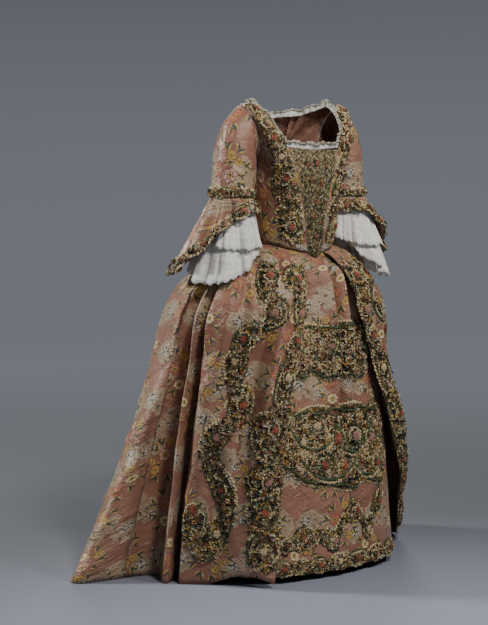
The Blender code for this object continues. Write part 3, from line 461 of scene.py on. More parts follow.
# Middle of the serpentine trim: height, and distance from the skirt's front edge.
SERPENTINE = (
    (0.905, 0.100), (0.843, 0.130), (0.769, 0.098), (0.713, 0.165), (0.656, 0.188),
    (0.586, 0.180), (0.529, 0.150), (0.473, 0.156), (0.436, 0.200), (0.368, 0.216),
    (0.280, 0.172), (0.207, 0.150), (0.150, 0.182), (0.092, 0.218), (0.140, 0.248),
    (0.215, 0.248),
)
SERPENTINE_REACH = {RIGHT: 1.0, LEFT: 0.86}   # the left skirt is narrower before its folds
SERPENTINE_WIDTH = 0.040
EDGE_INSET = 0.004            # from the front edge to the trim beside it
# Outer edge of the trim beside the front edge: height, and distance from the front edge.
EDGE_TRIM = (
    (0.905, 0.050), (0.840, 0.042), (0.780, 0.030), (0.715, 0.024), (0.650, 0.040),
    (0.530, 0.046), (0.470, 0.074), (0.360, 0.062), (0.300, 0.070), (0.220, 0.064),
    (0.130, 0.058), (0.045, 0.056),
)


def sleeve_grid():
    """Left sleeve: a closed tube from the armhole to the elbow."""
    turns = 360 * np.arange(SLEEVE_SEGMENTS) / SLEEVE_SEGMENTS
    lean = ARMHOLE_TOP - ARMHOLE_BOTTOM
    away = np.array([lean[2], 0.0, -lean[0]]) / np.linalg.norm(lean)
    rings = [[armhole(turn) + away * SEAM_GAP for turn in turns]]
    for x, y, height, tilt, half_width, half_depth in SLEEVE:
        tilt = math.radians(tilt)
        across = np.array([math.cos(tilt), 0, math.sin(tilt)]) * half_width
        ring = []
        for turn in np.radians(turns):
            forward = np.array([0, -half_depth, 0])
            centre = np.array([x, y, height])
            ring.append(centre + across * math.cos(turn) + forward * math.sin(turn))
        rings.append(ring)
    return np.array(rings)


FRILL_WAVES = 12
FRILL_INSET = 0.0042        # from the neck edge to the foot of the frill, inside it
FRILL_MIDDLE = np.array([0.0, -0.02, 0.0])
FRILL_ROWS = (
    # rise    share of the wave  lean outwards
    (-0.006, 0.2, 0.000),
    (0.009, 0.6, 0.000),
    (0.020, 1.0, 0.003),
)
FRILL_WAVE = 0.0045
FRONT_CENTRE = (0.0, -0.108, 1.238)
BACK_CENTRE = (0.0, 0.096, 1.334)
FRONT_SHARES = np.linspace(STOMACHER_TOP + 0.03, 0.99, 9)   # along the bodice's front edge
NECK_FOLDS = ("neck_corner", "under_fold")                  # folds that meet the neckline


def neck_path():
    """Points of the neckline, right round from centre front over the wearer's left."""
    edge = np.array(FRONT_EDGE)
    left_front = table_curve(FRONT_SHARES, edge[:, 0], edge[:, 1:])
    left_back = np.array([row[3] for row in SACK if row[0] in NECK_FOLDS])
    half = np.concatenate([[FRONT_CENTRE], left_front, left_back, [BACK_CENTRE]])
    other = half[1:-1][::-1] * np.array([-1, 1, 1])
    return np.concatenate([half, other, half[:1]])


FOLD_NAMES = [row[0] for row in SKIRT_RIGHT + SACK]
SHARP_FOLDS = [FOLD_NAMES.index(name) for name in
               ("crisp_fold", "gap_one", "low_edge", "low_return", "top_edge", "inner_edge",
                "inner_return")]

RNG = np.random.default_rng(1760)       # all the fringe's draws come from it, in order


# ---- from coarse grids to cloth ----------------------------------------------------------------
def unit(vectors):
    return vectors / np.maximum(np.linalg.norm(vectors, axis=-1, keepdims=True), 1e-9)


def grid_normals(grid, closed=False, hand=1):
    """Unit normals of a grid, along its rows crossed with down its columns; hand -1 turns them."""
    if closed:
        along = np.roll(grid, -1, axis=1) - np.roll(grid, 1, axis=1)
    else:
        along = np.gradient(grid, axis=1)
    return hand * unit(np.cross(along, np.gradient(grid, axis=0)))


def raised(grid, relief, hand=1, closed=False):
    """The grid moved along its normals by a relief."""
    return grid + grid_normals(grid, closed, hand) * relief[:, :, None]


def eased(value, reach):
    """0 where value is 0 or less, 1 where it is reach or more, even between."""
    return np.clip(value / reach, 0, 1)


def run_length(path):
    """Distance of each point of a path from its first."""
    return np.concatenate([[0], np.cumsum(np.linalg.norm(np.diff(path, axis=0), axis=1))])


def refine(points, steps, closed=False, slack=None):
    """Smooth curve through points along the first axis, with steps to each span.

    slack is how round the curve is at each point: 1 is smooth and 0 a sharp corner.
    """
    count = len(points)
    ahead = np.roll(points, -1, axis=0) - points
    behind = np.roll(ahead, 1, axis=0)
    reach = np.maximum(np.linalg.norm(ahead, axis=-1, keepdims=True), 1e-9)
    before = np.roll(reach, 1, axis=0)
    heading = unit(ahead * before / reach + behind * reach / before)
    if not closed:
        heading[0], heading[-1] = unit(ahead[0]), unit(behind[-1])
    slack = np.ones(count) if slack is None else slack
    fine = []
    for k in range(count if closed else count - 1):
        n = (k + 1) % count
        start, end = heading[k] * reach[k] * slack[k], heading[n] * reach[k] * slack[n]
        fine.extend(hermite(points[k], start, points[n], end, t)
                    for t in np.arange(steps) / steps)
    if not closed:
        fine.append(points[-1])
    return np.array(fine)


def closed_up(grid):
    """A ring's grid with its first column repeated after the last."""
    return np.concatenate([grid, grid[:, :1]], axis=1)


def refine_grid(grid, row_steps, column_steps, closed=False, slack=None):
    fine = refine(grid.transpose(1, 0, 2), column_steps, closed, slack).transpose(1, 0, 2)
    return refine(fine, row_steps)


def lengths_along(grid):
    """Distance of each point from the first one of its row."""
    steps = np.linalg.norm(np.diff(grid, axis=1), axis=2)
    return np.concatenate([np.zeros((len(grid), 1)), np.cumsum(steps, axis=1)], axis=1)


def cloth_places(grid, home):
    """Metres across from column home, and metres down, for each point of a fine grid."""
    across = lengths_along(grid)
    across = across - across[:, home:home + 1]
    down = lengths_along(grid.transpose(1, 0, 2)).T
    down = np.broadcast_to(down.mean(axis=1, keepdims=True), down.shape)
    return across, down


TROUGH_PLACE, TROUGH_DEPTH = 1.6, 0.5   # beside each ridge: half widths away, share of its height


def creases(across, down, table):
    """Relief of soft ridges, each with a trough beside it; the tables list them one by one."""
    relief = np.zeros_like(across)
    for s, d, length, turn, width, depth, bend in table:
        angle = math.radians(turn)
        along = (across - s) * math.cos(angle) + (down - d) * math.sin(angle)
        aside = -(across - s) * math.sin(angle) + (down - d) * math.cos(angle)
        aside = aside - bend * along ** 2 / length
        fade = np.clip(1 - (2 * along / length) ** 2, 0, 1) ** 2
        trough = np.exp(-((aside - TROUGH_PLACE * width) / width) ** 2)
        relief += depth * fade * (np.exp(-(aside / width) ** 2) - TROUGH_DEPTH * trough)
    return relief


SWELL_WAVES = 7


def swell(across, down, amount, size, seed):
    """Slow unevenness of cloth that isn't stretched: a few long waves in all directions."""
    rng = np.random.default_rng(seed)
    relief = np.zeros_like(across)
    for _ in range(SWELL_WAVES):
        angle = rng.uniform(0, math.pi)
        pace = 2 * math.pi / (size * rng.uniform(0.7, 1.6))
        phase = rng.uniform(0, 2 * math.pi)
        relief += np.sin((across * math.cos(angle) + down * math.sin(angle)) * pace + phase)
    return relief * amount / 4


def sampled(points, normals, rows, columns):
    """Points and unit normals of a grid at fractional rows and columns."""
    i, j = rows.astype(int), columns.astype(int)
    g, f = (rows - i)[..., None], (columns - j)[..., None]

    def blend(field):
        return ((field[i, j] * (1 - f) + field[i, j + 1] * f) * (1 - g)
                + (field[i + 1, j] * (1 - f) + field[i + 1, j + 1] * f) * g)
    return blend(points), unit(blend(normals))


FIND_PASSES = 4             # enough for a column and a row to settle on each other


class Panel:
    """A coarse grid from the frame's tables, and the fine cloth grown from it."""

    def __init__(self, coarse, fine, normals, row_steps, column_steps):
        self.coarse, self.grid, self.normals = coarse, fine, normals
        self.row_steps, self.column_steps = row_steps, column_steps
        self.lengths = lengths_along(coarse)
        self.levels = coarse[:, :, 2]

    def find(self, distance, height, home=0.0):
        """Column and row at a distance along the row from column home, and a height."""
        rows, columns = self.levels.shape
        u = v = home
        for _ in range(FIND_PASSES):
            j = min(int(u), columns - 2)
            profile = self.levels[:, j] * (1 - u + j) + self.levels[:, j + 1] * (u - j)
            v = float(np.interp(-height, -profile, np.arange(rows)))
            i = min(int(v), rows - 2)
            length = self.lengths[i] * (1 - v + i) + self.lengths[i + 1] * (v - i)
            start = np.interp(home, np.arange(columns), length)
            u = float(np.interp(start + distance, length, np.arange(columns)))
        return u, v

    def at(self, u, v):
        """Points and normals of the cloth at coarse columns and rows."""
        rows, columns = self.grid.shape[:2]
        return sampled(self.grid, self.normals,
                       np.clip(np.asarray(v) * self.row_steps, 0, rows - 1.001),
                       np.clip(np.asarray(u) * self.column_steps, 0, columns - 1.001))

    def spot(self, distance, height, home=0.0):
        """Point and normal of the cloth at a distance along and a height."""
        return self.at(*self.find(distance, height, home))


# ---- meshes ------------------------------------------------------------------------------------
def grid_faces(rows, columns, closed=False):
    spans = columns if closed else columns - 1
    i, j = np.meshgrid(np.arange(rows - 1), np.arange(spans), indexing="ij")
    k = (j + 1) % columns
    return np.stack([i * columns + j, i * columns + k, (i + 1) * columns + k,
                     (i + 1) * columns + j], axis=-1).reshape(-1, 4)


def make_piece(name, points, faces, materials, slot, nodes=(), uv=None, tint=None):
    """Mesh object from arrays, riding on the garment and standing for the named nodes."""
    points = np.array(points, float).reshape(-1, 3)
    points[:, 2] -= SHOULDER_HEIGHT
    mesh = bpy.data.meshes.new(name)
    mesh.from_pydata(points.tolist(), [], faces)
    mesh.shade_smooth()
    for material in materials:
        mesh.materials.append(material)
    if uv is not None:
        layer = mesh.uv_layers.new(name="cloth")
        layer.data.foreach_set("uv", np.asarray(uv, np.float32).ravel())
    if tint is not None:
        layer = mesh.color_attributes.new("tint", "FLOAT_COLOR", "POINT")
        full = np.ones((len(points), 4), np.float32)
        full[:, :3] = tint
        layer.data.foreach_set("color", full.ravel())
    piece = bpy.data.objects.new(name, mesh)
    bpy.context.scene.collection.objects.link(piece)
    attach(piece, "root")
    if nodes:
        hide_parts(*nodes)
    return piece


SILK_THICKNESS, LACE_THICKNESS = 0.0007, 0.0005
# Cloth area over the flat size worked out for it: more than the least, and no more than the most.
LEAST_SHARE, MOST_SHARE = 0.35, 0.99


def make_cloth(name, grid, materials, slot, nodes, home=0, closed=False,
               thickness=SILK_THICKNESS, held="gathered", uv_shift=(0.0, 0.0)):
    """Thin shell of cloth on a fine grid, with its cloth coordinates in metres as UV.

    home is the column from which the pattern is measured, and uv_shift moves the pattern.
    """
    ring = closed_up(grid) if closed else grid
    across, down = cloth_places(ring, home)
    uv = np.stack([across + uv_shift[0], uv_shift[1] - down], axis=-1)
    corners = np.stack([uv[:-1, :-1], uv[:-1, 1:], uv[1:, 1:], uv[1:, :-1]], axis=2)
    faces = grid_faces(*grid.shape[:2], closed).tolist()
    piece = make_piece(name, grid, faces, materials, slot, nodes, corners.reshape(-1, 2))
    shell = piece.modifiers.new("thickness", "SOLIDIFY")
    shell.thickness = thickness
    shell.offset = -1.0
    if len(materials) > 1:
        shell.material_offset = 1
    diagonals = ring[1:, 1:] - ring[:-1, :-1], ring[1:, :-1] - ring[:-1, 1:]
    area = float(np.linalg.norm(np.cross(*diagonals), axis=2).sum() / 2)
    width = float(across[:, -1].max() - across[:, 0].min())
    length = float(down.max())
    while area < LEAST_SHARE * width * length:
        width *= 0.9
    while area > MOST_SHARE * width * length:
        width *= 1.03


def make_silk(name, grid, **cloth):
    """A piece of the gown's own silk, with its plain reverse inside."""
    make_cloth(name + ".silk", grid, (SILK, REVERSE), "silk_brocade", (name,), **cloth)


def flipped(grid, flip):
    """The grid, with its columns from the other end where that turns its outside outwards."""
    return grid[:, ::-1] if flip else grid


# ---- materials ---------------------------------------------------------------------------------
class Nodes:
    """Short names for building a node tree; each gives the node's output."""

    def __init__(self, tree):
        self.tree = tree

    def feed(self, node, inputs):
        """Link or set a node's inputs, by name or number."""
        for key, value in inputs.items():
            if isinstance(value, bpy.types.NodeSocket):
                self.tree.links.new(value, node.inputs[key])
            else:
                node.inputs[key].default_value = value

    def node(self, kind, inputs=(), **settings):
        """The node itself."""
        made = self.tree.nodes.new("ShaderNode" + kind)
        for key, value in settings.items():
            setattr(made, key, value)
        self.feed(made, dict(inputs))
        return made

    def math(self, operation, *values):
        return self.node("Math", enumerate(values), operation=operation).outputs[0]

    def times(self, first, second):
        return self.math("MULTIPLY", first, second)

    def plus(self, first, second):
        return self.math("ADD", first, second)

    def minus(self, first, second):
        return self.math("SUBTRACT", first, second)

    def most(self, first, second):
        return self.math("MAXIMUM", first, second)

    def line(self, value, slope, start):
        return self.math("MULTIPLY_ADD", value, slope, start)

    def vector(self, operation, *values, output=0):
        return self.node("VectorMath", enumerate(values), operation=operation).outputs[output]

    def length(self, where):
        return self.vector("LENGTH", where, output=1)

    def distance(self, where, place):
        return self.length(self.vector("SUBTRACT", where, place))

    def xyz(self, where):
        """All three coordinates."""
        return self.node("SeparateXYZ", {0: where}).outputs

    def ramp(self, value, low, high):
        """0 below low, 1 above high, smooth between; low may be the larger."""
        if low > high:
            return self.minus(1.0, self.ramp(value, high, low))
        inputs = {0: value, 1: low, 2: high}
        return self.node("MapRange", inputs, interpolation_type="SMOOTHSTEP").outputs[0]

    def peak(self, value, start, top, fall, end):
        """A ramp up from start to top, times a ramp down from fall to end."""
        return self.times(self.ramp(value, start, top), self.ramp(value, end, fall))

    def mix(self, share, first, second, kind="MIX"):
        inputs = {0: share, 6: first, 7: second}
        return self.node("Mix", inputs, data_type="RGBA", blend_type=kind).outputs[2]

    def noise(self, where, scale, detail=2.0, rough=0.5, dimensions="3D", distortion=0.0):
        inputs = {"Vector": where, "Scale": scale, "Detail": detail, "Roughness": rough,
                  "Distortion": distortion}
        return self.node("TexNoise", inputs, noise_dimensions=dimensions).outputs[0]

    def cells(self, where, scale, randomness, feature="F1"):
        """All outputs of a flat Voronoi texture."""
        inputs = {"Vector": where, "Scale": scale, "Randomness": randomness}
        return self.node("TexVoronoi", inputs, voronoi_dimensions="2D", feature=feature).outputs

    def petals(self, where):
        """Wave with five crests round the origin."""
        x, y = self.xyz(where)[:2]
        return self.math("COSINE", self.times(self.math("ARCTAN2", y, x), 5.0))

    def bump(self, height, strength, distance):
        inputs = {"Height": height, "Strength": strength, "Distance": distance}
        return self.node("Bump", inputs).outputs[0]

    def turned(self, where, degrees, scale=(1, 1, 1)):
        """Place turned by some degrees and then stretched."""
        inputs = {"Vector": where, "Rotation": (0, 0, math.radians(degrees))}
        return self.vector("MULTIPLY", self.node("Mapping", inputs).outputs[0], scale)


def colour(r, g, b):
    """Linear colour from a 0-255 display colour."""
    return tuple(((v / 255 + 0.055) / 1.055) ** 2.4 for v in (r, g, b)) + (1.0,)


DUSTY_ROSE = colour(158, 114, 93)
DUSTY_SHADE = colour(138, 95, 76)
CLOUD = colour(162, 142, 112)
CLOUD_EDGE = colour(214, 197, 168)
GOLD = colour(198, 152, 60)
DEEP_GOLD = colour(120, 84, 36)
CORAL = colour(188, 98, 72)
DEEP_CORAL = colour(112, 46, 36)
WHITE_SILK = colour(226, 218, 202)
LEAF = colour(24, 30, 22)
LEAF_EDGE = colour(186, 158, 62)
CREAM = colour(240, 218, 164)
MOSS = colour(46, 62, 40)
FERN = colour(84, 108, 64)
PINE = colour(24, 42, 28)
OLIVE = colour(122, 106, 60)
SHADE = colour(36, 28, 20)
BLUSH = colour(206, 156, 138)
REVERSE_TONES = colour(140, 98, 82), colour(156, 122, 98)
LACE_TONES = colour(246, 245, 240), colour(232, 230, 222)
NETTED_TONES = colour(96, 84, 58), colour(158, 142, 104)
STITCH = (0.72, 0.62, 0.44, 1)              # light stitches in the woven figures
RIB_SHADE, STRAND_SHADE = (0.02, 0.012, 0.01, 1), (0.02, 0.015, 0.01, 1)

REPEAT = (0.27, 0.40)       # the woven repeat, across and up

# One bouquet.  Flowers: place across and up from its middle (m), reach (m), turn, petals, colour.
BOUQUET_FLOWERS = (
    (0.036, -0.029, 0.0160, 120, 5, "gold"),
    (0.050, -0.006, 0.0135, 60, 5, "gold"),
    (0.005, 0.054, 0.0150, 10, 6, "gold"),
    (-0.028, 0.026, 0.0180, 20, 8, "cream"),
    (0.015, 0.015, 0.0220, 70, 6, "blush"),
    (-0.013, -0.019, 0.0210, 200, 5, "coral"),
)
# Its pairs of leaves: place of the foot, length, turn.
BOUQUET_LEAVES = (
    (0.026, 0.042, 0.026, 62), (-0.015, 0.056, 0.023, 130), (-0.046, 0.030, 0.022, 166),
    (-0.038, 0.002, 0.024, 196), (-0.030, -0.030, 0.025, 232), (-0.004, -0.044, 0.027, 274),
    (0.028, -0.045, 0.026, 304), (0.055, -0.030, 0.025, 336), (0.058, 0.008, 0.024, 18),
    (0.036, 0.026, 0.020, 40), (0.000, 0.036, 0.018, 100), (0.020, -0.010, 0.018, 330),
)
# Bouquets in the repeat: place across and up, turn, and narrowing across, less than 0 where the
# bouquet is woven mirrored.
BOUQUETS = ((0.075, 0.085, 0, 1), (0.205, 0.230, 24, -1), (0.050, 0.345, 150, 0.9))
# Pale clouds in the repeat, laid out in the same way.
CLOUDS = ((0.200, 0.098, 0, 1.0), (0.045, 0.210, -14, -0.86), (0.150, 0.345, 10, 0.94),
          (0.262, 0.335, 100, -1.1), (0.130, 0.160, 70, 1.15))
# One cloud: rounds, each with its place and radius.
PUFFS = ((-0.046, 0.000, 0.020), (-0.022, 0.014, 0.024), (0.006, 0.020, 0.022),
         (0.030, 0.010, 0.021), (0.052, -0.003, 0.015), (0.010, -0.010, 0.022),
         (-0.024, -0.012, 0.019), (0.036, -0.014, 0.014))
# On each cloud, small dark pairs of leaves and coral buds, laid out as in the bouquet.
CLOUD_LEAVES = ((-0.040, 0.020, 0.011, 100), (-0.026, 0.004, 0.011, 40),
                (-0.012, -0.008, 0.012, 330), (0.004, -0.022, 0.010, 300))
CLOUD_BUDS = ((-0.034, -0.006, 0.0055, 40, 5, "coral"), (0.002, -0.004, 0.0050, 10, 5, "coral"))
# Clusters of small white flowers on each cloud: place and reach.
CLUSTERS = ((0.026, 0.006, 0.019), (-0.044, -0.012, 0.014))


def pattern_group(name):
    """Node group that takes a place, a number of petals and two colours: nodes, and inputs."""
    tree = bpy.data.node_groups.new(name, "ShaderNodeTree")
    for key, kind, end in (("Vector", "Vector", "INPUT"), ("Petals", "Float", "INPUT"),
                           ("Petal", "Color", "INPUT"), ("Dark", "Color", "INPUT"),
                           ("Color", "Color", "OUTPUT"), ("Mask", "Float", "OUTPUT")):
        tree.interface.new_socket(key, in_out=end, socket_type="NodeSocket" + kind)
    return Nodes(tree), tree.nodes.new("NodeGroupInput").outputs


def close_group(n, tone, mask):
    n.feed(n.tree.nodes.new("NodeGroupOutput"), {"Color": tone, "Mask": mask})
    return n.tree


def flower_group():
    """One woven flower that reaches to 1, with two rings of rounded petals."""
    n, given = pattern_group("woven_flower")
    x, y = n.xyz(given["Vector"])[:2]
    reach = n.length(given["Vector"])
    turn = n.times(n.times(n.math("ARCTAN2", y, x), given["Petals"]), 0.5)
    lobes = n.math("POWER", n.math("ABSOLUTE", n.math("COSINE", turn)), 0.6)
    share = n.math("DIVIDE", reach, n.line(lobes, 0.34, 0.62))
    inner = n.line(n.minus(1.0, lobes), 0.18, 0.34)
    tone = n.mix(n.ramp(share, 0.98, 0.70), given["Dark"], given["Petal"])
    tone = n.mix(n.ramp(n.minus(reach, inner), 0.05, -0.02), tone, given["Dark"])
    tone = n.mix(n.ramp(reach, 0.34, 0.28), tone, LEAF_EDGE)
    tone = n.mix(n.ramp(reach, 0.18, 0.12), tone, LEAF)
    return close_group(n, tone, n.ramp(share, 1.0, 0.94))


def leaf_group():
    """Two leaves from one foot, each reaching to 1, one half of each lit."""
    n, given = pattern_group("woven_leaves")
    x, y = n.xyz(given["Vector"])[:2]
    folded = n.node("CombineXYZ", {0: x, 1: n.math("ABSOLUTE", y)}).outputs[0]
    x, y = n.xyz(n.turned(folded, -27))[:2]
    fat = n.times(n.times(x, n.minus(1.0, x)), 0.86)
    mask = n.ramp(n.minus(fat, n.math("ABSOLUTE", y)), -0.01, 0.02)
    return close_group(n, n.mix(n.ramp(y, 0.02, 0.07), given["Dark"], given["Petal"]), mask)


def wrapped(n, where, x, y):
    """Place within the repeat, measured from (x, y)."""
    wide, tall = REPEAT
    home = n.vector("SUBTRACT", where, (x, y, 0.0))
    return n.vector("WRAP", home, (wide / 2, tall / 2, 1.0), (-wide / 2, -tall / 2, -1.0))


def nearest(n, where, motifs):
    """Place measured from the middle of the nearest of some motifs."""
    place = closest = None
    for x, y, turn, hand in motifs:
        here = n.turned(wrapped(n, where, x, y), -turn, (hand, 1, 0))
        away = n.length(here)
        if place is None:
            place, closest = here, away
        else:
            nearer = n.math("LESS_THAN", away, closest)
            place = n.node("Mix", {0: nearer, 4: place, 5: here}, data_type="VECTOR").outputs[1]
            closest = n.math("MINIMUM", closest, away)
    return place


def after(n, where, value):
    """The same place, worked out only once value is known, which keeps few values in hand."""
    return n.vector("MULTIPLY_ADD", value, (1e-9, 1e-9, 1e-9), where)


PAINT = {"gold": (GOLD, DEEP_GOLD), "coral": (CORAL, DEEP_CORAL), "cream": (CREAM, DEEP_GOLD),
         "blush": (BLUSH, DEEP_CORAL), "leaf": (LEAF_EDGE, LEAF), "dark": (MOSS, LEAF)}


def lay(n, place, ground, covered, group, rows):
    """Lay motifs over the ground; rows hold their place, reach, turn, petals and colour."""
    for x, y, reach, turn, petals, kind in rows:
        home = n.vector("SUBTRACT", after(n, place, covered), (x, y, 0.0))
        home = n.turned(home, -turn, (1 / reach, 1 / reach, 0.0))
        light, dark = PAINT[kind]
        one = n.node("Group", {"Vector": home, "Petals": petals, "Petal": light, "Dark": dark},
                     node_tree=group).outputs
        ground = n.mix(one["Mask"], ground, one["Color"])
        covered = n.most(covered, one["Mask"])
    return ground, covered


def lay_clouds(n, where, place, ragged):
    """Ground of rose with pale clouds, and masks of the clouds and of their lacy edges."""
    puffs = n.noise(where, 46.0, 2.0, 0.55)
    field = None
    for x, y, radius in PUFFS:
        here = place if field is None else after(n, place, field)
        home = n.math("DIVIDE", n.distance(here, (x, y, 0.0)), radius)
        field = home if field is None else n.math("SMOOTH_MIN", field, home, 0.12)
    field = n.minus(n.plus(field, n.line(puffs, 1.7, n.times(ragged, 0.7))), 1.26)
    inside = n.ramp(field, 1.03, 0.99)
    edge = n.times(n.ramp(field, 1.16, 1.06), n.ramp(field, 0.88, 0.98))
    dots = n.ramp(n.noise(where, 360.0, 1.0), 0.46, 0.54)
    scroll = n.times(n.times(n.peak(puffs, 0.44, 0.47, 0.50, 0.53), inside), dots)
    lacy = n.most(n.times(edge, dots), n.times(scroll, 0.6))
    shade = n.mix(n.ramp(n.noise(where, 7.0, 3.0), 0.3, 0.7), DUSTY_ROSE, DUSTY_SHADE)
    ground = n.mix(n.times(inside, 0.80), shade, CLOUD)
    return n.mix(n.times(lacy, 0.85), ground, CLOUD_EDGE), inside, lacy


def lay_daisies(n, where, place, ground, figure, ragged):
    """Clusters of small white flowers with dark eyes, on a dark ground."""
    pale = n.cells(after(n, where, figure), 112.0, 0.75)
    star = n.petals(n.vector("SUBTRACT", where, pale["Position"]))
    petals = n.ramp(n.minus(n.line(star, 0.08, 0.42), pale["Distance"]), 0.0, 0.06)
    eye = n.ramp(pale["Distance"], 0.19, 0.13)
    near = None
    for x, y, reach in CLUSTERS:
        home = n.distance(place, (x, y, 0.0))
        share = n.ramp(n.plus(home, n.times(n.minus(ragged, 0.5), 0.03)), reach, reach * 0.85)
        near = share if near is None else n.most(near, share)
    daisies = n.times(petals, near)
    ground = n.mix(n.times(near, 0.75), ground, SHADE)
    ground = n.mix(n.times(daisies, 0.95), ground, WHITE_SILK)
    return n.mix(n.times(eye, daisies), ground, OLIVE), n.most(figure, daisies)


def brocade_pattern(n, where):
    """Colour of the brocade at where, in metres of cloth, and masks of its clouds and figures."""
    ragged = n.noise(where, 190.0, 2.0, 0.6)
    place = nearest(n, where, CLOUDS)
    ground, inside, figure = lay_clouds(n, where, place, ragged)
    leaves, bloom = leaf_group(), flower_group()
    ground, figure = lay(n, place, ground, figure, leaves,
                         [(*row, 1, "dark") for row in CLOUD_LEAVES])
    ground, figure = lay(n, place, ground, figure, bloom, CLOUD_BUDS)
    ground, figure = lay_daisies(n, where, place, ground, figure, ragged)
    place = nearest(n, after(n, where, figure), BOUQUETS)
    ground, figure = lay(n, place, ground, figure, leaves,
                         [(*row, 1, "leaf") for row in BOUQUET_LEAVES])
    ground, figure = lay(n, place, ground, figure, bloom, BOUQUET_FLOWERS)
    stitch = n.noise(after(n, where, figure), 420.0, 2.0)
    for low, high, share, tone in ((0.52, 0.62, 0.45, STITCH), (0.46, 0.38, 0.55, SHADE)):
        ground = n.mix(n.times(figure, n.times(n.ramp(stitch, low, high), share)), ground, tone)
    fleck = n.times(n.noise(where, 620.0, 1.0), 0.25)
    return n.mix(fleck, ground, (0.5, 0.5, 0.5, 1), "OVERLAY"), inside, figure


def base_material(name):
    material = bpy.data.materials.new(name)
    material.use_nodes = True
    tree = material.node_tree
    return material, tree.nodes["Principled BSDF"], Nodes(tree)


def cloth_place(n):
    return n.node("UVMap", uv_map="cloth").outputs[0]


def silk_brocade(name="silk_brocade", inside_out=False):
    """Rose silk with pale clouds, woven sprays and small white flowers, or its plain reverse."""
    material, shader, n = base_material(name)
    where = cloth_place(n)
    crinkle, across = (n.noise(n.turned(where, turn, scale), 1.0, 3.0, 0.6, "2D", twist)
                       for turn, scale, twist in ((-34, (20, 85, 1), 0.9), (24, (16, 70, 1), 0.6)))
    patch = n.ramp(n.noise(where, 9.0, 2.0), 0.42, 0.62)
    ribs = n.node("TexWave", {"Vector": where, "Scale": 190.0, "Distortion": 1.2,
                              "Detail": 1.0}, wave_type="BANDS", bands_direction="Y").outputs[1]
    height = n.times(n.plus(crinkle, across), n.line(patch, 0.8, 0.35))
    height = n.plus(height, n.times(ribs, 0.03))
    if inside_out:
        ground = n.mix(n.ramp(n.noise(where, 60.0, 3.0), 0.45, 0.62), *REVERSE_TONES)
    else:
        ground, cloud, figure = brocade_pattern(n, where)
        height = n.plus(height, n.times(figure, 0.10))
        n.feed(shader, {"Roughness": n.line(figure, 0.18, n.line(cloud, -0.06, 0.38))})
    n.feed(shader, {"Base Color": n.mix(n.times(ribs, 0.14), ground, RIB_SHADE),
                    "Normal": n.bump(height, 0.8, 0.0055), "Sheen Weight": 0.12,
                    "Sheen Roughness": 0.4, "Specular IOR Level": 0.45})
    return material


def floss_material(name, rough=0.46, shade=0.45):
    """Silk floss and ribbon in the colours laid on each piece's points."""
    material, shader, n = base_material(name)
    tint = n.node("VertexColor", layer_name="tint").outputs[0]
    strand = n.noise(n.node("TexCoord").outputs["Object"], 900.0, 2.0, 0.6)
    tone = n.mix(n.times(n.ramp(strand, 0.35, 0.65), shade), tint, STRAND_SHADE)
    n.feed(shader, {"Base Color": tone, "Normal": n.bump(strand, 0.5, 0.001),
                    "Roughness": rough, "Sheen Weight": 0.1, "Specular IOR Level": 0.4})
    return material


def lace_material(name, net=0.40):
    """White cotton net with embroidered sprigs; its holes let light through.

    net is how open the ground between the threads is.
    """
    material, shader, n = base_material(name)
    where = cloth_place(n)
    thread = n.ramp(n.cells(where, 420.0, 0.9, "DISTANCE_TO_EDGE")[0], 0.22, 0.10)
    sprig = n.cells(where, 62.0, 0.6)
    star = n.petals(n.vector("SUBTRACT", where, sprig["Position"]))
    flower = n.ramp(n.minus(n.line(star, 0.13, 0.30), sprig["Distance"]), -0.01, 0.02)
    vine = n.peak(n.noise(where, 55.0, 2.0, 0.5, distortion=1.4), 0.47, 0.49, 0.51, 0.53)
    solid = n.most(n.most(n.most(flower, vine), thread), 1.0 - net)
    white = n.mix(n.ramp(n.noise(where, 30.0, 3.0), 0.3, 0.7), *LACE_TONES)
    height = n.plus(n.most(flower, vine), n.times(n.noise(where, 60.0, 3.0), 1.2))
    n.feed(shader, {"Base Color": white, "Alpha": solid, "Normal": n.bump(height, 0.5, 0.0012),
                    "Roughness": 0.85, "Sheen Weight": 0.15, "Specular IOR Level": 0.25})
    return material


def netted_material(name):
    """Olive silk of the stomacher under its netting."""
    material, shader, n = base_material(name)
    mottle = n.noise(cloth_place(n), 120.0, 3.0, 0.6)
    n.feed(shader, {"Base Color": n.mix(n.ramp(mottle, 0.35, 0.65), *NETTED_TONES),
                    "Normal": n.bump(mottle, 0.6, 0.0015), "Roughness": 0.6,
                    "Sheen Weight": 0.1})
    return material


SILK = silk_brocade()
REVERSE = silk_brocade("silk_reverse", inside_out=True)
FLOSS = floss_material("silk_floss")
WISP = floss_material("lace_wisps", rough=0.8, shade=0.06)
LACE = lace_material("white_lace")
FRILL = lace_material("frill_lace", net=0.95)
NETTED = netted_material("netted_silk")


# ---- the gown ----------------------------------------------------------------------------------
FOLD_SLACK = 0.35           # how round the sharp folds are
ROW_STEPS, COLUMN_STEPS = 8, 5
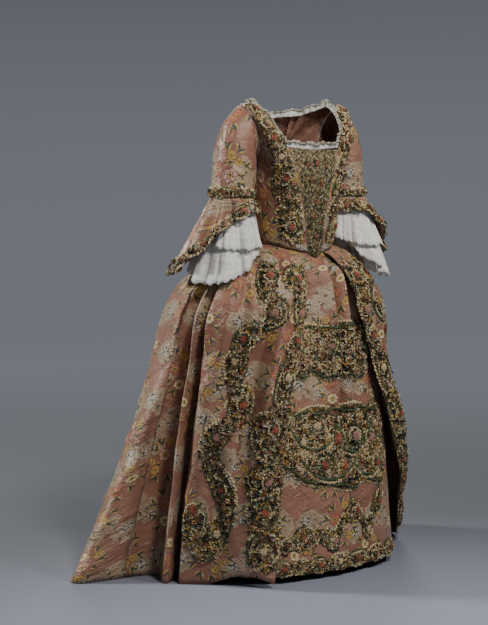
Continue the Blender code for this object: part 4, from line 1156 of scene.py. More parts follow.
# Creases of the skirts: metres from the front edge, metres down from the waist, length, slope in
# degrees, half width, height, bend.
SKIRT_CREASES = (
    (0.120, 0.480, 0.760, 89, 0.026, -0.0340, 0.02),
    (0.235, 0.400, 0.700, 91, 0.022, 0.0170, -0.02),
    (0.290, 0.600, 0.620, 94, 0.020, -0.0200, 0.02),
    (0.060, 0.700, 0.460, 86, 0.024, 0.0110, 0.02),
    (0.185, 0.800, 0.480, 97, 0.024, -0.0160, 0.03),
    (0.080, 0.130, 0.300, 96, 0.012, -0.0110, 0.04),
    (0.150, 0.140, 0.320, 88, 0.012, -0.0110, -0.03),
    (0.200, 0.150, 0.280, 82, 0.010, 0.0090, 0.04),
    (0.060, 0.090, 0.150, 62, 0.010, 0.0030, 0.10),
    (0.120, 0.070, 0.130, 78, 0.009, 0.0028, -0.08),
    (0.170, 0.120, 0.180, 84, 0.011, 0.0032, 0.05),
    (0.110, 0.260, 0.140, 18, 0.012, -0.0030, 0.20),
    (0.060, 0.330, 0.110, -24, 0.010, 0.0026, 0.15),
    (0.215, 0.300, 0.160, 40, 0.013, 0.0030, -0.12),
    (0.150, 0.400, 0.120, -32, 0.010, -0.0026, 0.10),
    (0.240, 0.450, 0.150, -38, 0.012, 0.0032, 0.15),
    (0.255, 0.490, 0.120, -30, 0.009, -0.0030, 0.10),
    (0.090, 0.480, 0.130, 28, 0.011, 0.0028, -0.18),
    (0.230, 0.590, 0.170, -34, 0.012, 0.0034, 0.12),
    (0.215, 0.630, 0.140, -28, 0.009, 0.0028, 0.20),
    (0.245, 0.680, 0.150, -36, 0.011, -0.0030, 0.10),
    (0.120, 0.620, 0.150, 52, 0.013, 0.0030, 0.08),
    (0.070, 0.720, 0.160, 70, 0.014, -0.0034, 0.06),
    (0.170, 0.760, 0.140, -20, 0.012, 0.0030, 0.20),
    (0.260, 0.800, 0.160, -12, 0.010, 0.0030, 0.25),
    (0.150, 0.860, 0.150, 30, 0.013, 0.0032, 0.12),
    (0.320, 0.560, 0.130, 58, 0.010, 0.0026, 0.10),
    (0.330, 0.820, 0.150, 66, 0.012, 0.0030, 0.10),
)
# Creases of half the sack: metres from the centre, metres down from the neck, and as above.
SACK_CREASES = (
    (0.060, 0.200, 0.120, 82, 0.008, 0.0022, 0.05),
    (0.100, 0.330, 0.140, 76, 0.009, 0.0024, 0.08),
    (0.190, 0.480, 0.170, 64, 0.012, 0.0030, 0.10),
    (0.250, 0.560, 0.160, 38, 0.012, -0.0030, 0.15),
    (0.080, 0.620, 0.200, 80, 0.014, 0.0034, 0.05),
    (0.330, 0.700, 0.190, 50, 0.013, 0.0034, -0.12),
    (0.140, 0.800, 0.180, 24, 0.013, -0.0030, 0.18),
    (0.420, 0.860, 0.200, 58, 0.014, 0.0036, 0.10),
    (0.260, 0.930, 0.200, 66, 0.015, 0.0036, 0.08),
    (0.520, 0.980, 0.180, 30, 0.013, 0.0034, 0.20),
    (0.080, 1.040, 0.210, 14, 0.014, -0.0032, 0.15),
    (0.380, 1.080, 0.200, 36, 0.014, 0.0034, 0.15),
    (0.600, 1.120, 0.190, 20, 0.013, 0.0036, 0.20),
    (0.180, 1.190, 0.200, 52, 0.015, 0.0036, 0.10),
    (0.480, 1.220, 0.200, 10, 0.013, -0.0034, 0.22),
    (0.300, 1.300, 0.190, 28, 0.013, 0.0034, 0.18),
    (0.700, 1.300, 0.180, 16, 0.012, 0.0032, 0.20),
)


# How far the deep gaps between pleats sink further into the cloth below the hip.
DEEPER = {"gap_one": 0.016, "gap_two": 0.026}


def sink(line, name):
    """A fold line with its gap drawn further in towards the petticoat."""
    depth = DEEPER.get(name, 0.0) * np.clip((WAIST_HEIGHT - line[:, 2]) / 0.25, 0, 1)
    inwards = -unit(line[:, :2] - np.array([0.0, 0.02]))
    line = line.copy()
    line[:, :2] += inwards * depth[:, None]
    return line


def gown_grid():
    """The whole gown skirt and sack as one grid, from the right front edge to the left.

    Also gives the columns of the two side-back seams, and how round each column's fold is.
    """
    halves, seams, rounds = {}, {}, {}
    for side, table in ((RIGHT, SKIRT_RIGHT), (LEFT, SKIRT_LEFT)):
        skirt = [sink(line, row[0]) for line, row in zip(skirt_columns(table), table)]
        sack = sack_columns(side)
        seam, ridge = sack[0][:SKIRT_BREAK], sack[1][:SKIRT_BREAK]
        whole = []
        for k, line in enumerate(skirt):
            beyond = seam + (seam - ridge) * (len(skirt) - k)
            whole.append(np.concatenate([beyond, line]))
        lines, places = between(whole + sack, SHARP_FOLDS)
        halves[side] = mirrored(np.array(lines).transpose(1, 0, 2), side)
        seams[side] = places[len(skirt)]
        rounds[side] = np.ones(len(lines))
        rounds[side][[places[k] for k in SHARP_FOLDS]] = FOLD_SLACK
    joined = np.concatenate([halves[RIGHT], halves[LEFT][:, -2::-1]], axis=1)
    slack = np.concatenate([rounds[RIGHT], rounds[LEFT][-2::-1]])
    return joined, seams[RIGHT], joined.shape[1] - 1 - seams[LEFT], slack


GOWN_SWELL = (0.0022, 0.16)     # height and size of the silk's slow unevenness
SWELL_START = 0.30              # metres down by which it is at its full height
RELIEF_START = 0.05             # the same for all relief, so that the seams at the top meet


def build_gown():
    """Two skirts and the sack back; returns the skirts as panels, seen from the front edge."""
    coarse, right_seam, left_seam, slack = gown_grid()
    fine = refine_grid(coarse, ROW_STEPS, COLUMN_STEPS, slack=slack)
    normals = grid_normals(fine)
    last = coarse.shape[1] - 1
    panels = {}
    # name, columns, top row, creases, seed of the swell, shift of the pattern
    for name, first, end, top, table, seed, shift in (
            ("gown_skirt_right", 0, right_seam, SKIRT_BREAK, SKIRT_CREASES, 16, (0.0, 0.0)),
            ("sack_back", right_seam, left_seam, 0, SACK_CREASES, 9, (0.02, 0.13)),
            ("gown_skirt_left", left_seam, last, SKIRT_BREAK, SKIRT_CREASES, 15, (0.11, 0.05))):
        back, flip = name == "sack_back", name == "gown_skirt_left"
        rows = slice(top * ROW_STEPS, None)
        columns = slice(first * COLUMN_STEPS, end * COLUMN_STEPS + 1)
        grid, normal = (flipped(field[rows, columns], flip) for field in (fine, normals))
        home = (last // 2 - first) * COLUMN_STEPS if back else 0
        across, down = cloth_places(grid, home)
        relief = creases(np.abs(across), down, table)
        relief += swell(across, down, *GOWN_SWELL, seed) * eased(down, SWELL_START)
        grid = grid + normal * (relief * eased(down, RELIEF_START))[:, :, None]
        grid = trim_edges(grid, SEAM_GAP / 2 if back else 0.0, SEAM_GAP / 2)
        shown = flipped(grid, flip)
        make_silk(name, shown, home=grid.shape[1] - 1 if flip else home, uv_shift=shift)
        panels[name] = Panel(flipped(coarse[top:, first:end + 1], flip), grid,
                             flipped(grid_normals(shown), flip), ROW_STEPS, COLUMN_STEPS)
    return {RIGHT: panels["gown_skirt_right"], LEFT: panels["gown_skirt_left"]}


# ---- petticoat ---------------------------------------------------------------------------------
PETTICOAT_STEPS = (8, 8)
PETTICOAT_CREASES = (
    # metres to the wearer's left of the centre, metres down from the waist, and as above
    (0.044, 0.360, 0.860, 90, 0.013, -0.0480, 0.01),
    (0.076, 0.380, 0.800, 90, 0.018, 0.0130, 0.01),
    (0.108, 0.240, 0.600, 87, 0.014, -0.0200, 0.03),
    (0.004, 0.300, 0.620, 90, 0.018, 0.0110, 0.02),
    (-0.060, 0.260, 0.560, 92, 0.016, -0.0180, -0.03),
    (-0.030, 0.640, 0.480, 88, 0.024, 0.0120, 0.03),
    (0.120, 0.660, 0.480, 91, 0.022, -0.0150, 0.03),
    (0.020, 0.480, 0.150, 60, 0.012, 0.0030, 0.10),
    (-0.080, 0.560, 0.180, 70, 0.013, -0.0030, 0.10),
    (-0.020, 0.760, 0.170, -26, 0.010, -0.0036, 0.20),
    (0.030, 0.780, 0.150, -30, 0.009, 0.0034, 0.15),
    (0.180, 0.730, 0.120, -20, 0.008, 0.0030, 0.25),
    (0.170, 0.800, 0.130, 12, 0.009, -0.0030, 0.20),
    (-0.150, 0.820, 0.150, 40, 0.012, 0.0030, 0.10),
    (0.280, 0.500, 0.300, 88, 0.016, -0.0040, 0.04),
    (-0.300, 0.500, 0.300, 92, 0.016, -0.0040, 0.04),
    (0.450, 0.600, 0.320, 86, 0.018, 0.0040, 0.04),
    (-0.450, 0.600, 0.320, 94, 0.018, 0.0040, 0.04),
)


PETTICOAT_SWELL = (0.0018, 0.15)
PETTICOAT_START = 0.12          # metres down by which its relief is at its full height


def build_petticoat():
    """The petticoat; returns its front as a panel, and the panel's column at centre front."""
    coarse = petticoat_grid()
    turn = PETTICOAT_COLUMNS // 2
    half = turn * PETTICOAT_STEPS[1]
    rolled = np.roll(refine_grid(coarse, *PETTICOAT_STEPS, closed=True), half, axis=1)
    across, down = cloth_places(rolled, half)
    relief = creases(-across, down, PETTICOAT_CREASES) + swell(across, down, *PETTICOAT_SWELL, 5)
    rolled = raised(rolled, relief * eased(down, PETTICOAT_START), closed=True)
    make_silk("petticoat", rolled, home=half, closed=True, uv_shift=(0.07, 0.02))
    front = np.concatenate([coarse[:, -turn:], coarse[:, :turn + 1]], axis=1)
    return Panel(front, rolled, grid_normals(rolled, closed=True), *PETTICOAT_STEPS), turn


# ---- bodice and sleeves ------------------------------------------------------------------------
BODICE_STEPS = (7, 7)
BODICE_CREASES = (
    # metres out from the front edge, metres down from the shoulder, and as above
    (0.085, 0.180, 0.120, 35, 0.007, 0.0020, 0.10),
    (0.070, 0.260, 0.110, 12, 0.006, -0.0018, 0.12),
    (0.090, 0.330, 0.120, -6, 0.006, 0.0022, 0.10),
    (0.070, 0.365, 0.110, -12, 0.005, -0.0020, 0.12),
    (0.085, 0.395, 0.100, -4, 0.005, 0.0020, 0.08),
    (0.055, 0.220, 0.140, 70, 0.007, 0.0018, 0.05),
)
BODICE_EASE = (0.03, 0.02)      # over which its creases grow, from the front edge and the seam
SLEEVE_STEPS = (7, 5)
SLEEVE_CREASES = (
    # metres round from the top of the arm, metres down from the armhole, and as above
    (0.070, 0.120, 0.120, 25, 0.008, -0.0026, 0.15),
    (0.110, 0.190, 0.120, -18, 0.007, 0.0026, 0.15),
    (0.060, 0.215, 0.110, -30, 0.006, -0.0024, 0.10),
    (0.150, 0.150, 0.110, 34, 0.008, 0.0024, 0.12),
    (0.030, 0.060, 0.100, 70, 0.007, -0.0020, 0.10),
    (-0.050, 0.100, 0.140, 76, 0.009, 0.0022, 0.08),
    (-0.090, 0.200, 0.120, 20, 0.008, 0.0022, 0.10),
    (-0.140, 0.130, 0.130, -28, 0.008, -0.0022, 0.10),
)


SLEEVE_EASE = 0.03              # the same from the armhole down


def build_bodice():
    """Both bodice fronts; returns them as panels."""
    trimmed = trim_edges(bodice_front(), 0.0, SEAM_GAP)
    trimmed[-1, :, 2] += SEAM_GAP / 2
    panels = {}
    for side, shift in ((RIGHT, 0.16), (LEFT, 0.19)):
        coarse = mirrored(trimmed, side)
        fine = refine_grid(coarse, *BODICE_STEPS)
        across, down = cloth_places(fine, 0)
        relief = creases(across, down, BODICE_CREASES) * eased(across, BODICE_EASE[0])
        relief *= eased(across[:, -1:] - across, BODICE_EASE[1])
        fine = raised(fine, relief, -side)
        make_silk(side_name("bodice_front", side), flipped(fine, side == LEFT),
                  home=0 if side == RIGHT else fine.shape[1] - 1, held="stretched",
                  uv_shift=(shift, 0.02))
        panels[side] = Panel(coarse, fine, grid_normals(fine, hand=-side), *BODICE_STEPS)
    return panels


def build_sleeves():
    """Sleeves; returns them as panels that run right round."""
    panels = {}
    for side in (RIGHT, LEFT):
        coarse = mirrored(sleeve_grid(), side)
        fine = refine_grid(coarse, *SLEEVE_STEPS, closed=True)
        across, down = cloth_places(closed_up(fine), 0)
        girth = across[:, -1:]
        around = (across + girth / 2) % girth - girth / 2
        relief = creases(around, down, SLEEVE_CREASES) * eased(down, SLEEVE_EASE)
        fine = raised(fine, relief[:, :-1], side, closed=True)
        make_silk(side_name("sleeve", side), flipped(fine, side == RIGHT), closed=True,
                  held="stretched", uv_shift=(0.05 * side, 0.09))
        panels[side] = Panel(closed_up(coarse), closed_up(fine),
                             closed_up(grid_normals(fine, True, side)), *SLEEVE_STEPS)
    return panels


# ---- flounces, lace and the neck frill ---------------------------------------------------------
FALL_STEPS = 6              # fine columns to each coarse one
FALL_ROWS_FINE = 20
# Scallops of a fall's edge and their depth; its pleats and their depth.
SILK_FALL = (30, 0.005, 17, 0.018)
LACE_FALL = (36, 0.012, 14, 0.024)
FLUTTER_WAVES = (17, 29)    # flutter that breaks the pleats' beat
PHASES = 6.28               # range of a random phase
HEAD_PLEAT = 0.22           # share of the pleats' depth at the elbow
SCALLOP_START = 0.7         # share of the way down from which the edge's scallops show


def fine_fall(sizes, segments, rows, looks, seed):
    """Left fall gathered into pleats, with a slow flutter and a scalloped edge."""
    point, radius, top, short, long, flare_short, flare_long, sharpness = sizes
    scallops, depth, pleats, pleat_depth = looks
    rng = np.random.default_rng(seed)
    hidden = max(0.0, top - ELBOW[2])
    angle = 2 * math.pi * np.arange(segments) / segments
    share = ((1 + np.cos(angle - math.radians(point))) / 2) ** sharpness
    drop = short + (long - short) * share
    spread = 1 - (1 - BODY_SIDE_FLARE) * ((1 - np.cos(angle)) / 2) ** 2
    wave = WAVE_DEPTH * np.cos(FALL_WAVES * angle)
    flutter = sum(np.cos(k * angle + rng.uniform(0, PHASES)) * rng.uniform(0.6, 1.0)
                  for k in FLUTTER_WAVES) * WAVE_DEPTH * 0.3
    beat = (pleats * angle + 1.1 * np.sin(3 * angle + rng.uniform(0, PHASES))
            + 0.8 * np.sin(5 * angle + rng.uniform(0, PHASES)))
    pleat = ((np.abs(np.cos(beat / 2)) ** 0.7 - 0.75) * pleat_depth
             * (0.8 + 0.35 * np.sin(4 * angle + rng.uniform(0, PHASES))))
    flare = flare_short + (flare_long - flare_short) * share + wave
    edge = np.abs(np.sin(angle * scallops / 2)) * depth
    rings = []
    if hidden > 0:
        hidden += SLEEVE_CLEARANCE
        rings.append((radius, np.full(segments, top)))
    for v in np.linspace(0, 1, rows):
        reach = radius + (flare * v + flutter * v * (1.2 - v) * 1.6
                          + pleat * (HEAD_PLEAT + (1 - HEAD_PLEAT) * v)) * spread
        lifted = (depth - edge) * 0.6 * max(0, v - SCALLOP_START) / 0.3
        rings.append((reach, top - hidden - (drop - hidden) * v + lifted))
    grid = np.array([np.column_stack([np.cos(angle) * reach, -np.sin(angle) * reach, level])
                     for reach, level in rings])
    grid[:, :, :2] += ELBOW[:2]
    return grid


def build_falls():
    """Flounces and lace engageantes; returns the flounces as panels that run right round."""
    panels = {}
    for side in (RIGHT, LEFT):
        for k, (name, *sizes) in enumerate(FALLS):
            silk, node = name == "flounce", side_name(name, side)
            half = fine_fall(sizes, FALL_SEGMENTS * FALL_STEPS, FALL_ROWS_FINE,
                             SILK_FALL if silk else LACE_FALL, 3 * k + side + 1)
            grid = mirrored(half, side)
            shown = flipped(grid, side == RIGHT)
            cloth = {"closed": True, "uv_shift": (0.03 * k, 0.12)}
            if silk:
                make_silk(node, shown, **cloth)
                fine_rows = (FALL_ROWS_FINE - 1) / FLOUNCE_ROWS
                ring = closed_up(grid)
                panels[side] = Panel(ring[::math.ceil(fine_rows), ::FALL_STEPS], ring,
                                     closed_up(grid_normals(grid, True, side)), fine_rows,
                                     FALL_STEPS)
            else:
                make_cloth(node + ".lace", shown, (LACE,), "white_lace", (node,),
                           thickness=LACE_THICKNESS, **cloth)
    return panels


FRILL_SEGMENTS, FRILL_LEVELS = 384, 8
FRILL_CRIMPS = 47           # small waves between the large ones
FRILL_SCALLOPS, FRILL_TIP = 56, 0.006       # how many, and their depth
FRILL_SAG = 0.0075          # how far the top edge droops in places
WISPS, WISP_REACH = 1100, 0.0072    # loose threads along the frill's top edge
WISP_TONES = (0.97, 1.03)


def build_neck_frill():
    """Gathered lace frill along the neckline, with loose threads along its edge."""
    ring = neck_path()
    length = run_length(ring)
    steps = np.arange(FRILL_SEGMENTS) / FRILL_SEGMENTS
    path = np.column_stack([np.interp(steps * length[-1], length, ring[:, axis])
                            for axis in range(3)])
    outwards = path - FRILL_MIDDLE
    outwards[:, 2] = 0
    outwards = unit(outwards)
    base = path - outwards * FRILL_INSET
    wave = FRILL_WAVE * (0.85 * np.cos(2 * math.pi * FRILL_WAVES * steps)
                         + 0.75 * np.cos(2 * math.pi * FRILL_CRIMPS * steps + 1.0))[:, None]
    grid = []
    for v in np.linspace(0, 1, FRILL_LEVELS):
        rise, share, lean = table_row(FRILL_ROWS, v)
        tip = FRILL_TIP * np.abs(np.sin(steps * FRILL_SCALLOPS * math.pi)) * v * v
        sag = 0.5 + 0.5 * np.sin(steps * 2 * math.pi * 13 + 2 * np.sin(steps * 19))
        level = rise * 0.72 - FRILL_SAG * v * sag + tip
        grid.append(base + outwards * (wave * share + lean)
                    + np.column_stack([np.zeros((FRILL_SEGMENTS, 2)), level]))
    grid = np.array(grid)
    make_cloth("neck_frill.lace", grid[:, ::-1], (FRILL,), "white_lace", ("neck_frill",),
               closed=True, thickness=LACE_THICKNESS)
    heap = Heap()
    k = RNG.integers(0, FRILL_SEGMENTS, WISPS)
    up = unit(np.array([0.0, 0.0, 1.0]) + 0.35 * outwards[k])
    add_tufts(heap, grid[-3][k], up, WISP_REACH, (WHITE_SILK,), (1.0,), 1.0, WISP_TONES)
    heap.make("neck_frill.wisps", "white_lace", material=WISP)


# ---- trims -------------------------------------------------------------------------------------
class Heap:
    """Points, faces and tints gathered into one mesh."""

    def __init__(self):
        self.points, self.faces, self.tints, self.count = [], [], [], 0

    def add(self, points, faces, tints):
        self.points.append(np.asarray(points, float).reshape(-1, 3))
        self.tints.append(np.asarray(tints, float).reshape(-1, 3))
        self.faces.extend((faces + self.count).tolist())
        self.count += len(self.points[-1])

    def sheet(self, grid, tints, closed=False):
        grid = np.asarray(grid)
        self.add(grid, grid_faces(*grid.shape[:2], closed), tints)

    def make(self, name, slot, nodes=(), material=None):
        make_piece(name, np.concatenate(self.points), self.faces, (material or FLOSS,), slot,
                   nodes, tint=np.concatenate(self.tints))


GUIDE = (0.3, 0.2, 1.0)         # no normal of the cloth points this way


def plane(normal, guide=GUIDE):
    """Two unit vectors at right angles to a normal; guide settles which way they turn."""
    side = unit(np.cross(normal, guide))
    return side, np.cross(normal, side)


FLY_COLOURS = (CREAM, GOLD, MOSS, CORAL, BLUSH, OLIVE, PINE)
FLY_WEIGHTS = (0.36, 0.19, 0.12, 0.08, 0.07, 0.09, 0.09)
FLY_TONES = (0.32, 1.38)        # darkest and lightest tufts, before they are squared
TONE_SPREAD = 0.2               # how much the tufts of one colour differ
BRIGHTEST = 0.85
BLADES = 5
BLADE_LEAN = (25, 80)           # degrees away from upright
BLADE_LENGTH = (0.6, 1.15)      # in reaches, as are the next two
BLADE_HALF_WIDTH = 0.27
BLADE_BULGE = 0.08
BLADE_MIDDLE = 0.66             # share of its length at which a blade is widest
FOOT_LIFT = 0.0002


def add_tufts(heap, points, normals, reach, colours=FLY_COLOURS, weights=FLY_WEIGHTS,
              root=0.04, tones=FLY_TONES):
    """Fly fringe: knotted tufts of floss, each a fan of short blades round its knot.

    root is how light a blade is at its foot, against the rest of it: painted shade at the knot.
    """
    count = len(points)
    tone = np.array([name[:3] for name in colours])[RNG.choice(len(colours), count, p=weights)]
    tone = tone * (1 + RNG.uniform(-TONE_SPREAD, TONE_SPREAD, (count, 1)))
    tone = np.minimum(tone * RNG.uniform(*tones, (count, 1)) ** 2, BRIGHTEST)
    side, other = plane(normals, RNG.normal(size=(count, 3)))
    turn = (np.arange(BLADES) / BLADES + RNG.uniform(0, 1, (count, 1))) * 2 * math.pi
    turn = turn + RNG.uniform(-0.3, 0.3, turn.shape)
    lean = np.radians(RNG.uniform(*BLADE_LEAN, turn.shape))[..., None]
    up = normals[:, None]
    flat = side[:, None] * np.cos(turn)[..., None] + other[:, None] * np.sin(turn)[..., None]
    heading = flat * np.sin(lean) + up * np.cos(lean)
    broad = np.cross(up, flat) * (reach * BLADE_HALF_WIDTH)
    long = reach * RNG.uniform(*BLADE_LENGTH, turn.shape)[..., None]
    foot = np.broadcast_to((points + normals * FOOT_LIFT)[:, None], heading.shape)
    middle = foot + heading * long * BLADE_MIDDLE + up * (BLADE_BULGE * reach)
    corners = np.stack([foot, middle + broad, foot + heading * long, middle - broad], axis=2)
    # Each blade gets painted shade at its foot, by root, and a painted highlight at its tip, 15%
    # lighter.
    tint = np.empty(corners.shape)
    tint[:, :, 0] = (tone * root)[:, None]
    tint[:, :, 1::2] = tone[:, None, None]
    tint[:, :, 2] = (tone * 1.15)[:, None]
    heap.add(corners, np.arange(count * BLADES * 4).reshape(-1, 4), tint)


def evenly(path, normals, pitch, ends=0):
    """Distances along a path, and its points and normals, spaced at about the given pitch."""
    length = run_length(path)
    at = np.linspace(0, length[-1], max(6, int(length[-1] / pitch)) + ends)
    path, normals = (np.column_stack([np.interp(at, length, field[:, k]) for k in range(3)])
                     for field in (path, normals))
    normals = unit(normals)
    return at, path, normals, unit(np.cross(np.gradient(path, axis=0), normals))


CORD_STEP = 0.42                # of a cord's pitch, from one of its points to the next
CORD_FLATNESS = 0.8


def add_cord(heap, path, normals, radius, pitch, colours=(FERN, PINE), sides=5):
    """Twisted cord along a path, its plies shown by a lumpy surface and by painted shade in the
    grooves between them.
    """
    at, path, normals, aside = evenly(path, normals, pitch * CORD_STEP)
    light, dark = (np.array(c[:3]) for c in colours)
    grid, tints = [], []
    for k in range(sides):
        angle = 2 * math.pi * k / sides
        twist = 0.5 + 0.5 * np.cos(angle - at / pitch * 2 * math.pi)
        size = radius * (0.78 + 0.34 * twist)
        up = math.sin(angle) * size * CORD_FLATNESS + radius * 0.5
        grid.append(path + aside * (math.cos(angle) * size)[:, None] + normals * up[:, None])
        # Painted shade: the dark colour in the grooves between plies, the light one on their
        # crests.
        tints.append(dark + (light - dark) * twist[:, None])
    grid, tints = (np.array(rows + rows[:1]).transpose(1, 0, 2) for rows in (grid, tints))
    heap.sheet(grid, tints)


RIBBON_STEPS = 4.5              # points of a ribbon to each of its puffs
RIBBON_LIFT = 0.0045


def add_ribbon(heap, path, normals, width, pleat, colour=CREAM, lift=RIBBON_LIFT):
    """Narrow ribbon gathered into puffs that lean to one side and the other."""
    at, path, normals, aside = evenly(path, normals, pleat / RIBBON_STEPS, 1)
    beat = at / pleat * 2 * math.pi + 1.3 * np.sin(at * 61.0) + RNG.uniform(0, 6)
    sway = 0.25 * np.cos(beat * 0.5)
    rows, tints = [], []
    for s in (-1.0, -0.45, 0.0, 0.45, 1.0):
        puff = 0.5 + 0.5 * np.sin(beat + 1.5 * s)
        reach = (s * (0.62 + 0.38 * puff) + sway) * width / 2
        height = 0.0005 + lift * (1 - 0.75 * s * s) * (0.25 + 0.75 * puff)
        rows.append(path + aside * reach[:, None] + normals * height[:, None])
        # Painted shade: darker in the hollows between puffs and towards the edges, and a little
        # lighter on the puffs' crests, a painted highlight.
        tints.append((0.30 + 0.78 * puff)[:, None] * np.array(colour[:3]) * (1 - 0.12 * abs(s)))
    heap.sheet(rows, tints)


def add_loop(heap, point, normal, radius, angle, add, *sizes, guide=GUIDE):
    """A ribbon or cord of the given sizes round a point; add is the function that makes it."""
    side, other = plane(normal, guide)
    path = (point + side * (radius * np.cos(angle))[:, None]
            + other * (radius * np.sin(angle))[:, None])
    add(heap, path, np.broadcast_to(normal, path.shape), *sizes)


RING_RIBBON = (add_ribbon, 0.007, 0.008)        # width and length of a puff
RING_BRAID = (add_cord, 0.0026, 0.007)          # radius and pitch
RING_STEPS = 40


def add_ring(heap, point, normal, radius, kind, share, turn):
    """Ribbon or braid sewn round a flower, over a share of the ring."""
    angle = turn + np.linspace(0, 2 * math.pi * share, RING_STEPS)
    add_loop(heap, point, normal, radius * (1 + 0.06 * np.sin(angle * 5 + turn)), angle, *kind)


CURL_COLOURS = (CREAM, CREAM, BLUSH, GOLD)
CURL_RADIUS, CURL_TURN = (0.005, 0.011), (2.4, 5.2)     # least and most
CURL_ENDS = (1.1, 0.75)         # share of its radius at the start and the end
CURL_RIBBON, CURL_LIFT = (0.0058, 0.011), 0.0035
CURL_POINTS = 9


def add_curls(heap, band, height, count):
    """Short curls of ribbon scattered over a band, at a height above it."""
    for _ in range(count):
        point, normal = band.at(RNG.uniform(0.01, 0.99), RNG.uniform(0.1, 0.9))
        guide = RNG.normal(size=3)
        angle = np.linspace(0, RNG.uniform(*CURL_TURN), CURL_POINTS)
        radius = RNG.uniform(*CURL_RADIUS) * np.linspace(*CURL_ENDS, CURL_POINTS)
        colour = CURL_COLOURS[RNG.integers(len(CURL_COLOURS))]
        add_loop(heap, point + normal * height, normal, radius, angle, add_ribbon, *CURL_RIBBON,
                 colour, CURL_LIFT, guide=guide)


# Rings of a ribbon flower: petals, inner and outer reach, and rise, in its whole reach.
PETAL_RINGS = ((8, 0.30, 1.0, 0.18), (7, 0.16, 0.72, 0.36), (5, 0.04, 0.42, 0.52))


def add_rosette(heap, point, normal, reach, colours, turn):
    """Ribbon flower: three rings of cupped petals round a knot."""
    side, other = plane(normal)
    light, dark, heart = (np.array(c[:3]) for c in colours)
    bend = np.array([-1.0, -0.5, 0.0, 0.5, 1.0])[:, None]
    for ring, (petals, inner, outer, rise) in enumerate(PETAL_RINGS):
        half = math.pi / petals * 1.25
        for k in range(petals):
            middle = turn + (k + 0.5 * ring) * 2 * math.pi / petals
            rows, tints = [], []
            for share in (0.0, 0.55, 1.0):
                angle = middle + bend * half * (0.55 + 0.45 * share)
                r = reach * (inner + (outer - inner) * share) * (1 - 0.20 * bend * bend * share)
                lift = reach * (rise + 0.16 * (1 - bend * bend) * share
                                + 0.10 * math.sin(math.pi * share))
                rows.append(point + side * r * np.cos(angle) + other * r * np.sin(angle)
                            + normal * lift)
                # The petal runs from the dark colour at its foot, where the ring above shades it,
                # to the light one at its tip, and is darker at its cupped sides: painted shade.
                tints.append(dark + (light - dark) * (0.15 + 0.85 * share)
                             * (1 - 0.25 * bend * bend))
            heap.sheet(rows, tints)
    knot, size, round_it = point + normal * reach * 0.5, reach * 0.18, np.arange(6) * math.pi / 3
    rows = [[knot + (side * math.cos(a) + other * math.sin(a)) * size * math.sin(p)
             + normal * size * math.cos(p) for a in round_it] for p in np.radians((90, 55, 20))]
    heap.sheet(rows, np.broadcast_to(heart, (3, 6, 3)), closed=True)


def add_leaf(heap, point, normal, heading, length, width, colours):
    """Folded ribbon leaf."""
    heading = unit(heading - normal * np.dot(heading, normal))
    aside = np.cross(normal, heading)
    light, dark = (np.array(c[:3]) for c in colours)
    rows = []
    for share in (0.0, 0.3, 0.65, 1.0):
        half = width * math.sin(math.pi * (0.12 + 0.88 * share)) * 0.5
        lift = 0.25 * length * math.sin(math.pi * share) + 0.0012
        rows.append([point + heading * length * share + aside * half * b
                     + normal * (lift + 0.18 * width * abs(b)) for b in (-1, -0.35, 0, 0.35, 1)])
    # Painted shade: darker towards the sunk fold down the middle and darkest on it; the light
    # colour on the raised edges.
    heap.sheet(rows, [[light, dark, dark * 0.7, dark, light]] * len(rows))


ROSETTE_COLOURS = ((CORAL, DEEP_CORAL, GOLD), (BLUSH, DEEP_CORAL, GOLD), (CREAM, BLUSH, GOLD))
FLOWER_KINDS = (0, 1, 0, 2)     # their order along a trim
FLOWER_LEAVES = 4


def add_flower(heap, point, normal, reach, kind=0):
    """A ribbon flower on its leaves."""
    add_rosette(heap, point, normal, reach, ROSETTE_COLOURS[kind], RNG.uniform(0, 6))
    for _ in range(FLOWER_LEAVES):
        add_leaf(heap, point, normal, unit(RNG.normal(size=3)), reach * 1.55, reach * 0.62,
                 (OLIVE, MOSS))


class Band:
    """A band lying on a panel; a runs along it from 0 to 1 and b across it from 0 to 1."""

    def __init__(self, panel, place, along, across=8, margin=0.0, closed=False):
        self.margin, self.closed = margin, closed
        places = np.array([[place(a, b) for a in np.linspace(0, 1, along + 1)]
                           for b in np.linspace(-margin, 1 + margin, across + 1)])
        self.points, self.normals = panel.at(places[..., 0], places[..., 1])
        self.middle = self.points[across // 2]
        self.length = float(run_length(self.middle)[-1])
        self.widths = np.linalg.norm(self.points[-1] - self.points[0], axis=1)
        self.width = float(self.widths.mean() / (1 + 2 * margin))

    def scatter(self, count, share=np.ones_like):
        """Random places on the band, as dense where it is wide as where it is narrow."""
        a = np.linspace(0, 1, len(self.widths))
        heap = np.concatenate([[0], np.cumsum((self.widths * share(a))[1:])])
        return np.interp(RNG.uniform(0, heap[-1], count), heap, a), RNG.uniform(0, 1, count)

    def at(self, a, b):
        """Points and normals at shares along and across the band."""
        rows, columns = self.points.shape[:2]
        across = np.clip((np.asarray(b) + self.margin) / (1 + 2 * self.margin), 0, 1)
        return sampled(self.points, self.normals, across * (rows - 1.0001),
                       np.clip(np.asarray(a), 0, 1) * (columns - 1.0001))


def flower_marks(band, spots, spacing):
    """Where along a band its flowers are, and the beat of the lobes between them."""
    if len(spots):
        near = {int(np.argmin(np.linalg.norm(band.middle - spot, axis=1))) for spot in spots}
        marks = np.array(sorted(near)) / (len(band.middle) - 1)
    else:
        count = max(1, round(band.length / spacing))
        marks = (np.arange(count) + 0.5) / count
    pace = spacing / band.length
    knots = np.concatenate([[marks[0] - pace], marks, [marks[-1] + pace]])
    beats = math.pi * (np.arange(len(knots)) - 0.5)
    return marks, lambda a: np.interp(a, knots, beats)


